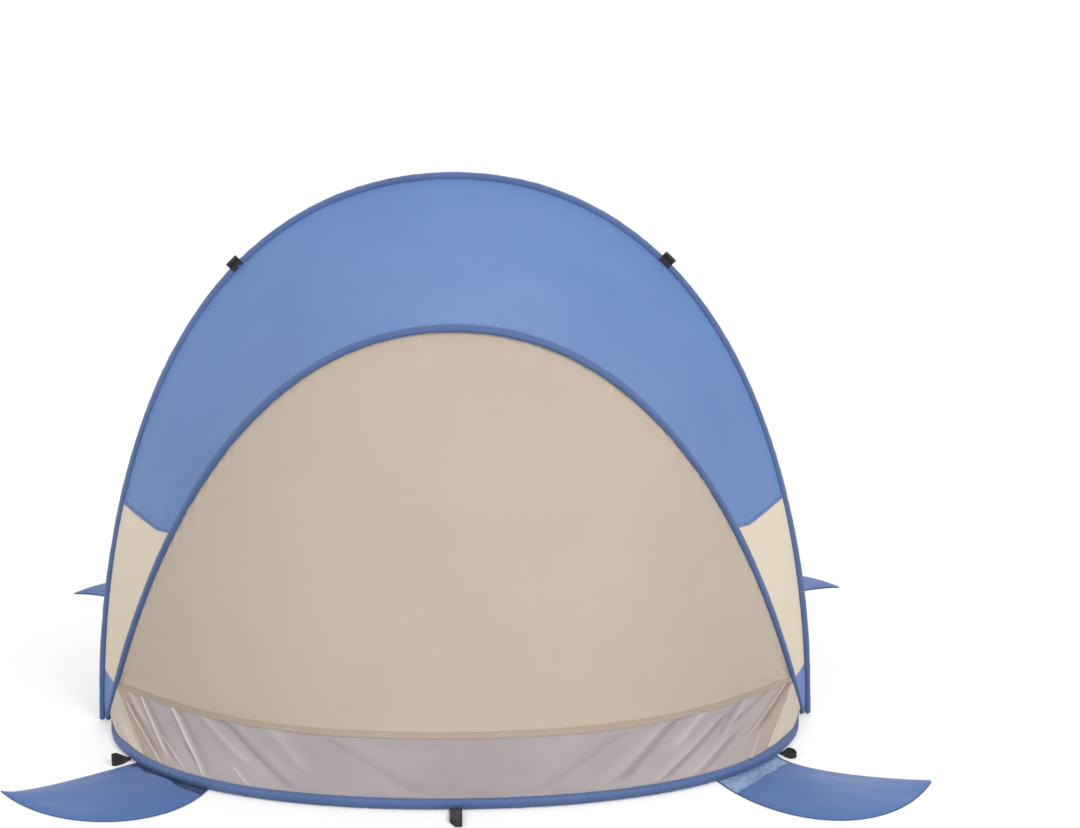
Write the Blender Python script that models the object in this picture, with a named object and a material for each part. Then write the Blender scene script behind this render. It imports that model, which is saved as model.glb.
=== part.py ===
"""Pop-up beach tent: two sprung wire loops in fabric sleeves, a taut shelter between them and four sand pockets.

Metres. The ground is z = 0, X runs from corner to corner, -Y is the rear wall and +Y the entrance. Each wire half is
a smooth curve in a plane of its own, and the four planes turn about one line through both corners. A share is a
place along a curve, from 0 at the left corner (-X) to 1 at the right one.
"""
from math import atan2, cos, hypot, pi, radians, sin, tan

import bmesh
import bpy
from mathutils import Matrix, Vector

# Shelter: how far each wire reaches from the corner line, and the turn of its plane from the +Y direction
WIDTH = 1.500
FRONT_ARCH_REACH = 1.140
REAR_ARCH_REACH = 0.935
REAR_HEM_REACH = 0.416
FRONT_HEM_REACH = 0.840
FRONT_ARCH_TURN = radians(75)
REAR_ARCH_TURN = radians(103)
REAR_HEM_TURN = radians(180)
FRONT_HEM_TURN = 0

# Curves: how much a leg leans in at the corner, and how long its two handles are
FRONT_ARCH_LEAN = radians(0.4)
REAR_ARCH_LEAN = radians(14.8)
REAR_HEM_LEAN = radians(5.3)
FRONT_HEM_LEAN = radians(1)
FRONT_ARCH_SHARES = (0.685, 0.547)
REAR_ARCH_SHARES = (0.411, 0.582)
REAR_HEM_SHARES = (0.799, 0.428)
FRONT_HEM_SHARES = (0.840, 0.660)

# Fabric and clearances
GAP = 0.0003
BENT_SEAM_GAP = 0.0008
SHEET_GAP = 0.0006
FABRIC = 0.0010
ROOF_SAG = 0.012
WALL_SAG = 0.006
FOLD_DEPTH = 0.004
FOLD_SPREAD_SHARE = 1 / 3

# Sleeves, flat where they are free and narrow at the corners, where they lie side by side in lanes
SLEEVE_WIDE = 0.020
SLEEVE_THICK = 0.011
SLEEVE_WALL = 0.0012
CORNER_SIZE = 0.008
TAPER_START = 0.050
TAPER_END = 0.160
LANE = 0.0122
FRONT_ARCH_CANT = radians(25)
REAR_ARCH_CANT = radians(12)
SLEEVE_START = 0.001
FRONT_HEM_START = 0.008
CREASE_Y = 0.006
CORNER_LINE_Z = SLEEVE_THICK / 2
OCTAGON_SHARE = tan(pi / 8)

# Wires, and the tubes that close the two loops at the middle of each hem
WIRE_RADIUS = 0.0016
WIRE_SIDES = 6
WIRE_INSET = 0.003
FERRULE_RADIUS = 0.0026
FERRULE_LENGTH = 0.040
FERRULE_SIDES = 12

# Seams: shares of the sleeve that they meet
FRONT_GUSSET_SHARE = 0.0365
REAR_GUSSET_SHARE = 0.035
FRONT_SIDE_SHARE = 0.152
REAR_SIDE_SHARE = 0.1945
VENT_FOOT_SHARE = 0.025
VENT_END_SHARE = 0.135
WALL_CORNER_SHARE = 0.008
CROWN_SHARE = 0.5

# The seam between the rear wall and its mesh strip: its height at the middle, its lean and its handles
VENT_HEIGHT = 0.137
SEAM_LEAN = radians(40)
SEAM_SHARES = (0.767, 0.513)

# Sand pockets: where each is sewn to its hem, how far its tip lies out from the corner and in from the hem's crown,
# and the handles of its two edges
REAR_POCKET_SHARES = (0.119, 0.223)
FRONT_POCKET_SHARES = (0.215, 0.296)
POCKET_TIP_OUT = 0.178
REAR_POCKET_SETBACK = 0.092
FRONT_POCKET_SETBACK = 0.130
POCKET_CROWN = 0.014
LEAD_EDGE_SHARES = ((0.15, 0.106), (-0.248, 0.066))
TRAIL_EDGE_SHARES = ((0.305, 0.37), (-0.24, 0.69))
POCKET_ROW_SHARES = (0, 0.13, 0.30, 0.47, 0.64, 0.80, 0.92, 1)
MOUTH_ROW = 1

# Webbing: corner ties, peg loops and guy tabs
WEBBING = 0.0015
TIE_START = 0.003
TIE_LENGTH = 0.0260
PEG_LOOP_WIDTH = 0.025
SIDE_LOOP_LENGTH = 0.042
SIDE_LOOP_EYE = 0.012
MIDDLE_LOOP_LENGTH = 0.070
MIDDLE_LOOP_EYE = 0.0055
REAR_LOOP_SHARE = 0.109
FRONT_LOOP_SHARE = 0.2065
LOOP_OUTLINE_SHARES = ((0, 0), (0.15, 0), (0.38, 0.72), (0.62, 1), (0.84, 0.86), (0.96, 0.45))
GUY_TAB_SHARE = 0.3365
GUY_TAB_WIDTH = 0.028
GUY_TAB_RISE = 0.012
GUY_TAB_EYE = 0.009
GUY_TAB_PATCH_SHARE = 0.80
GUY_TAB_OUTLINE_SHARES = ((0.40, 0), (0.55, 0.30), (1, 0.64), (0.72, 0.92))

# Materials: colour, roughness, metallic
FINISHES = {
    "roof_blue": ((0.17, 0.30, 0.59), 0.55, 0),
    "sleeve_blue": ((0.09, 0.16, 0.42), 0.6, 0),
    "wall_beige": ((0.56, 0.47, 0.36), 0.7, 0),
    "side_beige": ((0.74, 0.65, 0.53), 0.7, 0),
    "vent_mesh": ((0.43, 0.37, 0.38), 0.8, 0),
    "ground_sheet": ((0.42, 0.41, 0.40), 0.5, 0),
    "webbing_black": ((0.01, 0.01, 0.012), 0.8, 0),
    "spring_steel": ((0.55, 0.56, 0.58), 0.3, 1),
}

# Steps along each stretch between two seams, and across each sheet
ARCH_STEPS = (3, 5, 13)
REAR_HEM_STEPS = (1, 4, 2, 4, 14)
FRONT_HEM_STEPS = (7, 6, 6)
TIE_STEPS = 2
WALL_STEPS = 6
VENT_STEPS = 4
VENT_END_STEPS = 2
ROOF_STEPS = 6
SIDE_STEPS = 4
GUSSET_STEPS = 2
HALF_SAMPLES = 200
TANGENT_SHARE = 0.002
SLACK_SHARE = 0.00001
SHARP_ANGLE = radians(40)


def clear_scene():
    for item in list(bpy.data.objects):
        bpy.data.objects.remove(item, do_unlink=True)


def material(name, color, roughness, metallic):
    made = bpy.data.materials.new(name)
    made.use_nodes = True
    shader = made.node_tree.nodes["Principled BSDF"]
    shader.inputs["Base Color"].default_value = (*color, 1)
    shader.inputs["Roughness"].default_value = roughness
    shader.inputs["Metallic"].default_value = metallic
    return made


def corner_axis(name):
    """An empty on the line through both corners, which every arch and hem turns about."""
    empty = bpy.data.objects.new(name, None)
    empty.location = (0, 0, CORNER_LINE_Z)
    bpy.context.collection.objects.link(empty)
    return empty


def add(name, points, faces, finish, parent):
    """A piece from points in the tent's frame, with its origin on its parent's axis."""
    mesh = bpy.data.meshes.new(name)
    mesh.from_pydata([tuple(point) for point in points], [], faces)
    mesh.transform(Matrix.Translation(-parent.location))
    work = bmesh.new()
    work.from_mesh(mesh)
    bmesh.ops.remove_doubles(work, verts=work.verts, dist=GAP / 10)
    bmesh.ops.recalc_face_normals(work, faces=work.faces)
    work.to_mesh(mesh)
    work.free()
    mesh.shade_smooth()
    mesh.set_sharp_from_angle(angle=SHARP_ANGLE)
    mesh.materials.append(finish)
    piece = bpy.data.objects.new(name, mesh)
    piece.parent = parent
    bpy.context.collection.objects.link(piece)
    return piece


def bezier(handles, step):
    rest = 1 - step
    first, second, third, fourth = handles
    return first * rest ** 3 + second * 3 * rest ** 2 * step + third * 3 * rest * step ** 2 + fourth * step ** 3


def ease(value):
    value = min(max(value, 0), 1)
    return value * value * (3 - 2 * value)


class Curve:
    """A symmetric curve in a plane through foot that turns about X. Each half is a cubic from its end to the crown."""

    def __init__(self, foot, half_width, reach, turn, lean, handle_shares):
        self.radial = Vector((0, cos(turn), sin(turn)))
        self.normal = Vector((0, -sin(turn), cos(turn)))
        leg_share, crown_share = handle_shares
        end = Vector((half_width, 0))
        crown = Vector((0, reach))
        leg_handle = end + leg_share * reach * Vector((-sin(lean), cos(lean)))
        crown_handle = crown + Vector((crown_share * half_width, 0))
        handles = (end, leg_handle, crown_handle, crown)
        half = [bezier(handles, step / HALF_SAMPLES) for step in range(HALF_SAMPLES + 1)]
        flat = [Vector((-point.x, point.y)) for point in half] + half[-2::-1]
        self.points = [foot + Vector((point.x, 0, 0)) + self.radial * point.y for point in flat]
        self.travel = [0]
        for before, after in zip(self.points, self.points[1:]):
            self.travel.append(self.travel[-1] + (after - before).length)
        self.length = self.travel[-1]

    def at(self, share):
        target = min(max(share, 0), 1) * self.length
        low, high = 0, len(self.travel) - 1
        while high - low > 1:
            middle = (low + high) // 2
            if self.travel[middle] <= target:
                low = middle
            else:
                high = middle
        part = (target - self.travel[low]) / (self.travel[high] - self.travel[low])
        return self.points[low].lerp(self.points[high], part)

    def outward(self, share):
        along = self.at(share + TANGENT_SHARE) - self.at(share - TANGENT_SHARE)
        return self.normal.cross(along.normalized())


class Sleeve(Curve):
    """A wire half and the flat octagonal sleeve round it. Its lane is its place among the sleeves at the corner."""

    def __init__(self, lane, reach, turn, lean, handle_shares, cant):
        foot = Vector((0, 0, CORNER_LINE_Z))
        super().__init__(foot, WIDTH / 2 - lane * LANE, reach, turn, lean, handle_shares)
        self.cant = cant

    def axes(self, outward):
        """The wide and the thin direction of the section. The thin one of an arch points outward."""
        wide = cos(self.cant) * outward + sin(self.cant) * self.normal
        thin = sin(self.cant) * outward - cos(self.cant) * self.normal
        return wide, thin

    def halves(self, share):
        """Half the width and half the thickness of the section."""
        along = min(share, 1 - share) * self.length
        grown = ease((along - TAPER_START) / (TAPER_END - TAPER_START))
        return tuple((CORNER_SIZE + (size - CORNER_SIZE) * grown) / 2 for size in (SLEEVE_WIDE, SLEEVE_THICK))

    def octagon(self, share, inset=0):
        wide, thin = self.axes(self.outward(share))
        half_wide, half_thin = self.halves(share)
        across, up = half_wide - inset, half_thin - inset
        corners = [(1, OCTAGON_SHARE), (OCTAGON_SHARE, 1), (-OCTAGON_SHARE, 1), (-1, OCTAGON_SHARE)]
        corners += [(-x, -y) for x, y in corners]
        return [self.at(share) + wide * across * x + thin * up * y for x, y in corners]

    def leave(self, share, target):
        """Where a sheet that heads for target starts, just clear of the sleeve."""
        wide, thin = self.axes(self.outward(share))
        point = self.at(share)
        heading = (target - point).normalized()
        half_wide, half_thin = self.halves(share)
        across, up = abs(heading.dot(wide)) / half_wide, abs(heading.dot(thin)) / half_thin
        way_out = 1 / max(across, up, (across + up) / (1 + OCTAGON_SHARE))
        return point + heading * (way_out + SHEET_GAP + FABRIC / 2)

    def seat(self, share, side):
        """Where a sheet on the ground meets the foot of the sleeve, outside it at side 1 and inside it at -1."""
        half_wide, half_thin = self.halves(share)
        run, climb = half_wide * (1 - OCTAGON_SHARE), half_thin * (1 - OCTAGON_SHARE)
        height = FABRIC + half_thin - CORNER_LINE_Z
        reach = half_wide * OCTAGON_SHARE + (height * run + GAP * hypot(run, climb)) / climb
        point = self.at(share) + side * reach * self.outward(share)
        return Vector((point.x, point.y, 0))

    def facet(self, shares, share):
        """A point on the straight stretch between two stations, with the directions along it and outward."""
        low = max(place for place in shares if place <= share)
        high = min(place for place in shares if place > share)
        start, end = self.at(low), self.at(high)
        along = (end - start).normalized()
        return start.lerp(end, (share - low) / (high - low)), along, self.normal.cross(along)

    def wire_ring(self, share, room, radius, sides):
        """A ring of points round the wire, which lies at the outer side of the sleeve with room for its ferrule."""
        outward = self.outward(share)
        wide, thin = self.axes(outward)
        half_wide, half_thin = self.halves(share)
        if self.cant:
            centre = self.at(share) + thin * (half_thin - SLEEVE_WALL - GAP - room)
        else:
            centre = self.at(share) + wide * (half_wide - SLEEVE_WALL - GAP - room)
        turns = [2 * pi * side / sides for side in range(sides)]
        return [centre + radius * (cos(turn) * outward + sin(turn) * self.normal) for turn in turns]


def stations(key_shares, steps):
    """Shares from corner to corner, so many steps between each pair of keys and the same again past the crown."""
    half = [key_shares[0]]
    for start, end, count in zip(key_shares, key_shares[1:], steps):
        half += [start + (end - start) * step / count for step in range(1, count + 1)]
    return half + mirrored(half[:-1])


def mirrored(shares):
    return [1 - share for share in reversed(shares)]


def between(shares, low, high):
    return [share for share in shares if low - SLACK_SHARE <= share <= high + SLACK_SHARE]


def trimmed(shares, curve, gap):
    """The same shares with half a seam gap left free at both ends."""
    cut = gap / 2 / curve.length
    return [shares[0] + cut] + shares[1:-1] + [shares[-1] - cut]


def ring_faces(count, sides, closed):
    """Side faces between neighbouring rings, and from the last back to the first if the row is closed."""
    faces = []
    for ring in range(count if closed else count - 1):
        here, there = ring * sides, (ring + 1) % count * sides
        for side in range(sides):
            after = (side + 1) % sides
            faces.append((here + side, here + after, there + after, there + side))
    return faces


def rod(name, rings, finish, parent):
    sides = len(rings[0])
    last = (len(rings) - 1) * sides
    faces = ring_faces(len(rings), sides, False)
    faces += [tuple(range(sides)), tuple(range(last, last + sides))]
    return add(name, [point for ring in rings for point in ring], faces, finish, parent)


def tube(name, outer, inner, finish, parent):
    """A tube that is open at both ends."""
    rings = outer + inner[::-1]
    faces = ring_faces(len(rings), len(outer[0]), True)
    return add(name, [point for ring in rings for point in ring], faces, finish, parent)


def sleeve_tube(name, sleeve, shares, finish, parent):
    outer = [sleeve.octagon(share) for share in shares]
    inner = [sleeve.octagon(share, SLEEVE_WALL) for share in shares]
    return tube(name, outer, inner, finish, parent)


def toward(ring, other, length):
    """A ring moved by length along the straight stretch to another one."""
    step = length / (other[0] - ring[0]).length
    return [point.lerp(far, step) for point, far in zip(ring, other)]


def spring_wire(name, sleeve, shares, room, finish, parent):
    rings = [sleeve.wire_ring(share, room, WIRE_RADIUS, WIRE_SIDES) for share in shares]
    rings[0] = toward(rings[0], rings[1], WIRE_INSET)
    rings[-1] = toward(rings[-1], rings[-2], WIRE_INSET)
    return rod(name, rings, finish, parent)


def ferrule(name, hem, shares, finish, parent):
    """The short tube at the crown of a hem, in which the two ends of a wire loop meet."""
    crown = len(shares) // 2
    bore = (WIRE_RADIUS + GAP) / cos(pi / FERRULE_SIDES)
    walls = []
    for radius in (FERRULE_RADIUS, bore):
        before, middle, after = [hem.wire_ring(share, FERRULE_RADIUS, radius, FERRULE_SIDES)
                                 for share in shares[crown - 1:crown + 2]]
        half = FERRULE_LENGTH / 2
        walls.append([toward(middle, before, half), middle, toward(middle, after, half)])
    return tube(name, *walls, finish, parent)


def thicken(piece):
    shell = piece.modifiers.new("fabric", "SOLIDIFY")
    shell.thickness = FABRIC
    shell.offset = 0
    shell.use_rim = True


def panel(name, starts, ends, rows, finish, parent, pushes=None):
    """A stretched sheet between two rows of points, each of its columns bowed by a push of its own."""
    points = []
    for column, (start, end) in enumerate(zip(starts, ends)):
        push = pushes[column] if pushes else Vector((0, 0, 0))
        points += [start.lerp(end, row / rows) + push * sin(pi * row / rows) for row in range(rows + 1)]
    faces = []
    for column in range(len(starts) - 1):
        here, there = column * (rows + 1), (column + 1) * (rows + 1)
        faces += [(here + row, here + row + 1, there + row + 1, there + row) for row in range(rows)]
    thicken(add(name, points, faces, finish, parent))


def fullness(column, count):
    """From 0 at the first and last column to 1 at the middle one."""
    return 1 - abs(2 * column / (count - 1) - 1)


def arch_panel(name, rear, rear_shares, front, front_shares, rows, sag, finish, parent):
    """A sheet from the rear arch to the front arch, drawn in by sag at its middle."""
    rear_shares = trimmed(rear_shares, rear, GAP)
    front_shares = trimmed(front_shares, front, GAP)
    starts, ends, pushes = [], [], []
    for column, (rear_share, front_share) in enumerate(zip(rear_shares, front_shares)):
        starts.append(rear.leave(rear_share, front.at(front_share)))
        ends.append(front.leave(front_share, rear.at(rear_share)))
        inward = -(rear.outward(rear_share) + front.outward(front_share)).normalized()
        pushes.append(inward * sag * ease(2 * fullness(column, len(rear_shares))))
    panel(name, starts, ends, rows, finish, parent, pushes)


def floor(name, hem, shares, crease_y, finish, parent):
    """One half of the ground sheet, from the crease at the corner line to the foot of its hem."""
    outline = [hem.seat(share, -1) for share in shares]
    left, right = outline[0].copy(), outline[-1].copy()
    left.y = right.y = crease_y
    points = [point + Vector((0, 0, FABRIC / 2)) for point in [left] + outline + [right]]
    thicken(add(name, points, [tuple(range(len(points)))], finish, parent))


def pocket_edges(root_start, root_end, tip):
    """The leading and the trailing edge of a sand pocket, each from its root to its tip."""
    reach = tip - (root_start + root_end) / 2
    spread = Vector((-reach.y, reach.x, 0))
    if spread.dot(root_end - root_start) < 0:
        spread = -spread
    edges = []
    for root, edge_shares in ((root_start, LEAD_EDGE_SHARES), (root_end, TRAIL_EDGE_SHARES)):
        (root_reach, root_spread), (tip_reach, tip_spread) = edge_shares
        root_handle = root + reach * root_reach + spread * root_spread
        tip_handle = tip + reach * tip_reach + spread * tip_spread
        edges.append((root, root_handle, tip_handle, tip))
    return edges


def pocket_grid(root, tip):
    """Ground points of a sand pocket: rows from its root on the hem to its tip."""
    lead, trail = pocket_edges(root[0], root[-1], tip)
    steps = len(root) - 1
    grid = []
    for row_share in POCKET_ROW_SHARES:
        row = []
        for step, seat in enumerate(root):
            bulge = seat - root[0].lerp(root[-1], step / steps)
            edge_point = bezier(lead, row_share).lerp(bezier(trail, row_share), step / steps)
            row.append(edge_point + bulge * (1 - row_share) ** 2)
        grid.append(row)
    return grid


def pocket_lining(name, grid, finish, parent):
    """The lower sheet of a sand pocket. It lies flat on the ground and is sewn to the hem."""
    outline = grid[0] + [row[-1] for row in grid[1:]] + [row[0] for row in grid[-2:0:-1]]
    points = [point + Vector((0, 0, FABRIC / 2)) for point in outline]
    thicken(add(name, points, [tuple(range(len(points)))], finish, parent))


def crown_share(row, rows, column, columns):
    """From 1 at the middle of a pocket's mouth to 0 along its edges and towards its tip."""
    across, along = (column - 1) / (columns - 3), row / (rows - 2)
    if not (0 < across < 1 and along < 1):
        return 0
    return sin(pi * across) * cos(pi / 2 * along)


def pocket_cover(name, grid, finish, parent):
    """The upper sheet of a sand pocket, crowned between the mouth and the tip so that sand goes in."""
    rows = grid[MOUTH_ROW:]
    columns = len(rows[0])
    points, faces = [], []
    for number, row in enumerate(rows):
        for column, point in enumerate(row):
            height = POCKET_CROWN * crown_share(number, len(rows), column, columns)
            points.append(point + Vector((0, 0, 3 * FABRIC / 2 + GAP + height)))
    for number in range(len(rows) - 1):
        here, there = number * columns, (number + 1) * columns
        faces += [(here + column, here + column + 1, there + column + 1, there + column)
                  for column in range(columns - 1)]
    thicken(add(name, points, faces, finish, parent))


def ribbon(name, path, width, place, finish, parent):
    """Webbing on edge. It follows a path in the x-y plane of place, and is as wide along its z axis."""
    rings = []
    for number, point in enumerate(path):
        before, after = path[max(number - 1, 0)], path[min(number + 1, len(path) - 1)]
        side = Vector((before.y - after.y, after.x - before.x)).normalized() * WEBBING / 2
        left, right = point + side, point - side
        corners = [(left, 0), (left, width), (right, width), (right, 0)]
        rings.append([place @ Vector((corner.x, corner.y, height)) for corner, height in corners])
    return rod(name, rings, finish, parent)


def placement(origin, x_axis, y_axis, z_axis):
    rows = [(x_axis[row], y_axis[row], z_axis[row], origin[row]) for row in range(3)]
    return Matrix(rows + [(0, 0, 0, 1)])


def loop_path(length, eye):
    """A doubled strap: its ends side by side at the hem, an eye, and a fold at the far end."""
    closed = WEBBING / 2 + GAP
    open_half = (eye + WEBBING) / 2
    half = [Vector((length * far, closed + (open_half - closed) * wide)) for far, wide in LOOP_OUTLINE_SHARES]
    return half + [Vector((length, 0))] + [Vector((point.x, -point.y)) for point in reversed(half)]


def side_loops(end, hem, shares, side_share, finish, parent):
    """Two peg loops that stand on edge beside the hem's sand pockets."""
    up = Vector((0, 0, 1))
    path = loop_path(SIDE_LOOP_LENGTH, SIDE_LOOP_EYE)
    for side, share in (("left", side_share), ("right", 1 - side_share)):
        point, _, outward = hem.facet(shares, share)
        origin = point + outward * (hem.halves(share)[0] + GAP)
        origin.z = 0
        place = placement(origin, outward, up.cross(outward), up)
        ribbon(f"peg_loop_{end}_{side}", path, PEG_LOOP_WIDTH, place, finish, parent)


def middle_loop(end, hem, finish, parent):
    """A peg loop that lies flat at the middle of the hem."""
    up = Vector((0, 0, 1))
    across = hem.radial.cross(up)
    origin = hem.at(CROWN_SHARE) + hem.radial * (SLEEVE_WIDE / 2 + GAP) - across * PEG_LOOP_WIDTH / 2
    origin.z = MIDDLE_LOOP_EYE / 2 + WEBBING
    path = loop_path(MIDDLE_LOOP_LENGTH, MIDDLE_LOOP_EYE)
    place = placement(origin, hem.radial, up, across)
    ribbon(f"peg_loop_{end}_middle", path, PEG_LOOP_WIDTH, place, finish, parent)


def tab_path():
    """Webbing over the outer side of an arch's sleeve, raised into an eye for a guy line."""
    offset = GAP + WEBBING / 2
    half_wide, half_thin = SLEEVE_WIDE / 2, SLEEVE_THICK / 2
    patch = Vector((half_wide * GUY_TAB_PATCH_SHARE, half_thin * (1 + OCTAGON_SHARE - GUY_TAB_PATCH_SHARE)))
    patch += Vector((half_thin, half_wide)) * offset / hypot(half_wide, half_thin)
    half = [patch, Vector((half_wide * OCTAGON_SHARE, half_thin + offset))]
    for wide, high in GUY_TAB_OUTLINE_SHARES:
        half.append(Vector(((GUY_TAB_EYE + WEBBING) / 2 * wide, half_thin + offset + GUY_TAB_RISE * high)))
    top = Vector((0, half_thin + offset + GUY_TAB_RISE))
    return half + [top] + [Vector((-point.x, point.y)) for point in reversed(half)]


def guy_tabs(arch, shares, finish, parent):
    path = tab_path()
    for side, share in (("left", GUY_TAB_SHARE), ("right", 1 - GUY_TAB_SHARE)):
        point, along, outward = arch.facet(shares, share)
        wide, thin = arch.axes(outward)
        place = placement(point + along * GUY_TAB_WIDTH / 2, wide, thin, -along)
        ribbon(f"guy_tab_{side}", path, GUY_TAB_WIDTH, place, finish, parent)


class Tent:
    """What the pieces share: materials, axes, the four sleeves, and the stations along them with one on every seam."""

    def __init__(self):
        self.finish = {name: material(name, *look) for name, look in FINISHES.items()}
        self.base = corner_axis("base_axis")
        self.rear_axis = corner_axis("rear_arch_axis")
        self.front_axis = corner_axis("front_arch_axis")
        self.entrance_axis = corner_axis("front_floor_axis")
        self.front = Sleeve(0, FRONT_ARCH_REACH, FRONT_ARCH_TURN, FRONT_ARCH_LEAN, FRONT_ARCH_SHARES,
                            pi / 2 + FRONT_ARCH_CANT)
        self.rear = Sleeve(1, REAR_ARCH_REACH, REAR_ARCH_TURN, REAR_ARCH_LEAN, REAR_ARCH_SHARES,
                           pi / 2 + REAR_ARCH_CANT)
        self.rear_hem = Sleeve(2, REAR_HEM_REACH, REAR_HEM_TURN, REAR_HEM_LEAN, REAR_HEM_SHARES, 0)
        self.front_hem = Sleeve(3, FRONT_HEM_REACH, FRONT_HEM_TURN, FRONT_HEM_LEAN, FRONT_HEM_SHARES, 0)
        self.arch_stations()
        self.hem_stations()
        self.wall_seam()

    def arch_stations(self):
        front_start, rear_start = SLEEVE_START / self.front.length, SLEEVE_START / self.rear.length
        front_keys = (front_start, FRONT_GUSSET_SHARE, FRONT_SIDE_SHARE, CROWN_SHARE)
        rear_keys = (rear_start, REAR_GUSSET_SHARE, REAR_SIDE_SHARE, CROWN_SHARE)
        self.front_shares = stations(front_keys, ARCH_STEPS)
        self.rear_shares = stations(rear_keys, ARCH_STEPS)

    def hem_stations(self):
        tie_start = TIE_START / self.rear_hem.length
        tie_end = (TIE_START + TIE_LENGTH) / self.rear_hem.length
        hem_start = tie_end + GAP / self.rear_hem.length
        pocket_start, pocket_end = REAR_POCKET_SHARES
        rear_keys = (hem_start, VENT_FOOT_SHARE, pocket_start, VENT_END_SHARE, pocket_end, CROWN_SHARE)
        front_keys = (FRONT_HEM_START / self.front_hem.length, *FRONT_POCKET_SHARES, CROWN_SHARE)
        self.rear_hem_shares = stations(rear_keys, REAR_HEM_STEPS)
        self.front_hem_shares = stations(front_keys, FRONT_HEM_STEPS)
        self.tie_shares = [tie_start + (tie_end - tie_start) * step / TIE_STEPS for step in range(TIE_STEPS + 1)]
        self.rear_hem_run = self.tie_shares[:-1] + self.rear_hem_shares + mirrored(self.tie_shares[:-1])

    def wall_seam(self):
        """The seam between the rear wall and its mesh strip, a curve from arch leg to arch leg."""
        end = self.rear.at(REAR_GUSSET_SHARE)
        hem_crown, arch_crown = self.rear_hem.at(CROWN_SHARE), self.rear.at(CROWN_SHARE)
        crown = hem_crown.lerp(arch_crown, (VENT_HEIGHT - hem_crown.z) / (arch_crown.z - hem_crown.z))
        foot = Vector((0, end.y, end.z))
        drop = crown - foot
        seam = Curve(foot, abs(end.x), drop.length, atan2(drop.z, drop.y), SEAM_LEAN, SEAM_SHARES)
        self.wall_shares = between(self.rear_shares, REAR_GUSSET_SHARE, 1 - REAR_GUSSET_SHARE)
        self.seam_shares = [(share - REAR_GUSSET_SHARE) / (1 - 2 * REAR_GUSSET_SHARE) for share in self.wall_shares]
        self.seam_points = [seam.at(share) for share in self.seam_shares]


# Wire loops in their sleeves
def add_arches(tent):
    blue, steel = tent.finish["sleeve_blue"], tent.finish["spring_steel"]
    sleeve_tube("front_arch_sleeve", tent.front, tent.front_shares, blue, tent.front_axis)
    spring_wire("front_arch_wire", tent.front, tent.front_shares, WIRE_RADIUS, steel, tent.front_axis)
    sleeve_tube("rear_arch_sleeve", tent.rear, tent.rear_shares, blue, tent.rear_axis)
    spring_wire("rear_arch_wire", tent.rear, tent.rear_shares, WIRE_RADIUS, steel, tent.rear_axis)


def add_hems(tent):
    blue, steel = tent.finish["sleeve_blue"], tent.finish["spring_steel"]
    sleeve_tube("rear_hem_sleeve", tent.rear_hem, tent.rear_hem_shares, blue, tent.base)
    spring_wire("rear_hem_wire", tent.rear_hem, tent.rear_hem_run, FERRULE_RADIUS, steel, tent.base)
    ferrule("rear_loop_ferrule", tent.rear_hem, tent.rear_hem_shares, steel, tent.base)
    sleeve_tube("front_hem_sleeve", tent.front_hem, tent.front_hem_shares, blue, tent.entrance_axis)
    spring_wire("front_hem_wire", tent.front_hem, tent.front_hem_shares, FERRULE_RADIUS, steel, tent.entrance_axis)
    ferrule("front_loop_ferrule", tent.front_hem, tent.front_hem_shares, steel, tent.entrance_axis)


def add_corner_ties(tent):
    black = tent.finish["webbing_black"]
    sleeve_tube("corner_tie_left", tent.rear_hem, tent.tie_shares, black, tent.base)
    sleeve_tube("corner_tie_right", tent.rear_hem, mirrored(tent.tie_shares), black, tent.base)


# Sheets
def add_ground_sheet(tent):
    ground = tent.finish["ground_sheet"]
    floor("floor_rear", tent.rear_hem, tent.rear_hem_run, CREASE_Y - GAP / 2, ground, tent.base)
    floor("floor_front", tent.front_hem, tent.front_hem_shares, CREASE_Y + GAP / 2, ground, tent.entrance_axis)


def add_rear_wall(tent):
    """From the seam up to the rear arch. Its lowest corners are cut off by a share of the first column."""
    corner_part = WALL_CORNER_SHARE / tent.seam_shares[1]
    lows = list(tent.seam_points)
    lows[0] = lows[0].lerp(lows[1], corner_part)
    lows[-1] = lows[-1].lerp(lows[-2], corner_part)
    highs = list(tent.wall_shares)
    highs[0] += (tent.wall_shares[1] - tent.wall_shares[0]) * corner_part
    highs[-1] -= (tent.wall_shares[1] - tent.wall_shares[0]) * corner_part
    ends = [tent.rear.leave(share, low) for share, low in zip(highs, lows)]
    starts = [low + (end - low).normalized() * BENT_SEAM_GAP for low, end in zip(lows, ends)]
    bows = [Vector((0, WALL_SAG, 0)) * fullness(column, len(lows)) for column in range(len(lows))]
    panel("rear_wall", starts, ends, WALL_STEPS, tent.finish["wall_beige"], tent.base, bows)


def add_mesh_strip(tent):
    """From the hem up to the seam, with tension folds that fade from both ends."""
    hem = tent.rear_hem
    shares = trimmed(between(tent.rear_hem_shares, VENT_END_SHARE, 1 - VENT_END_SHARE), hem, BENT_SEAM_GAP)
    tops = list(tent.seam_points)
    for end in (0, -1):
        tops[end] = tent.rear.leave(tent.wall_shares[end], hem.at(shares[end]))
    starts = [hem.leave(share, top) for share, top in zip(shares, tops)]
    folds = []
    for column, share in enumerate(shares):
        fade = 1 - min(fullness(column, len(shares)) / FOLD_SPREAD_SHARE, 1)
        folds.append(hem.outward(share) * FOLD_DEPTH * fade * (-1) ** column)
    folds[0] = folds[-1] = Vector((0, 0, 0))
    panel("rear_vent", starts, tops, VENT_STEPS, tent.finish["vent_mesh"], tent.base, folds)


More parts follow.
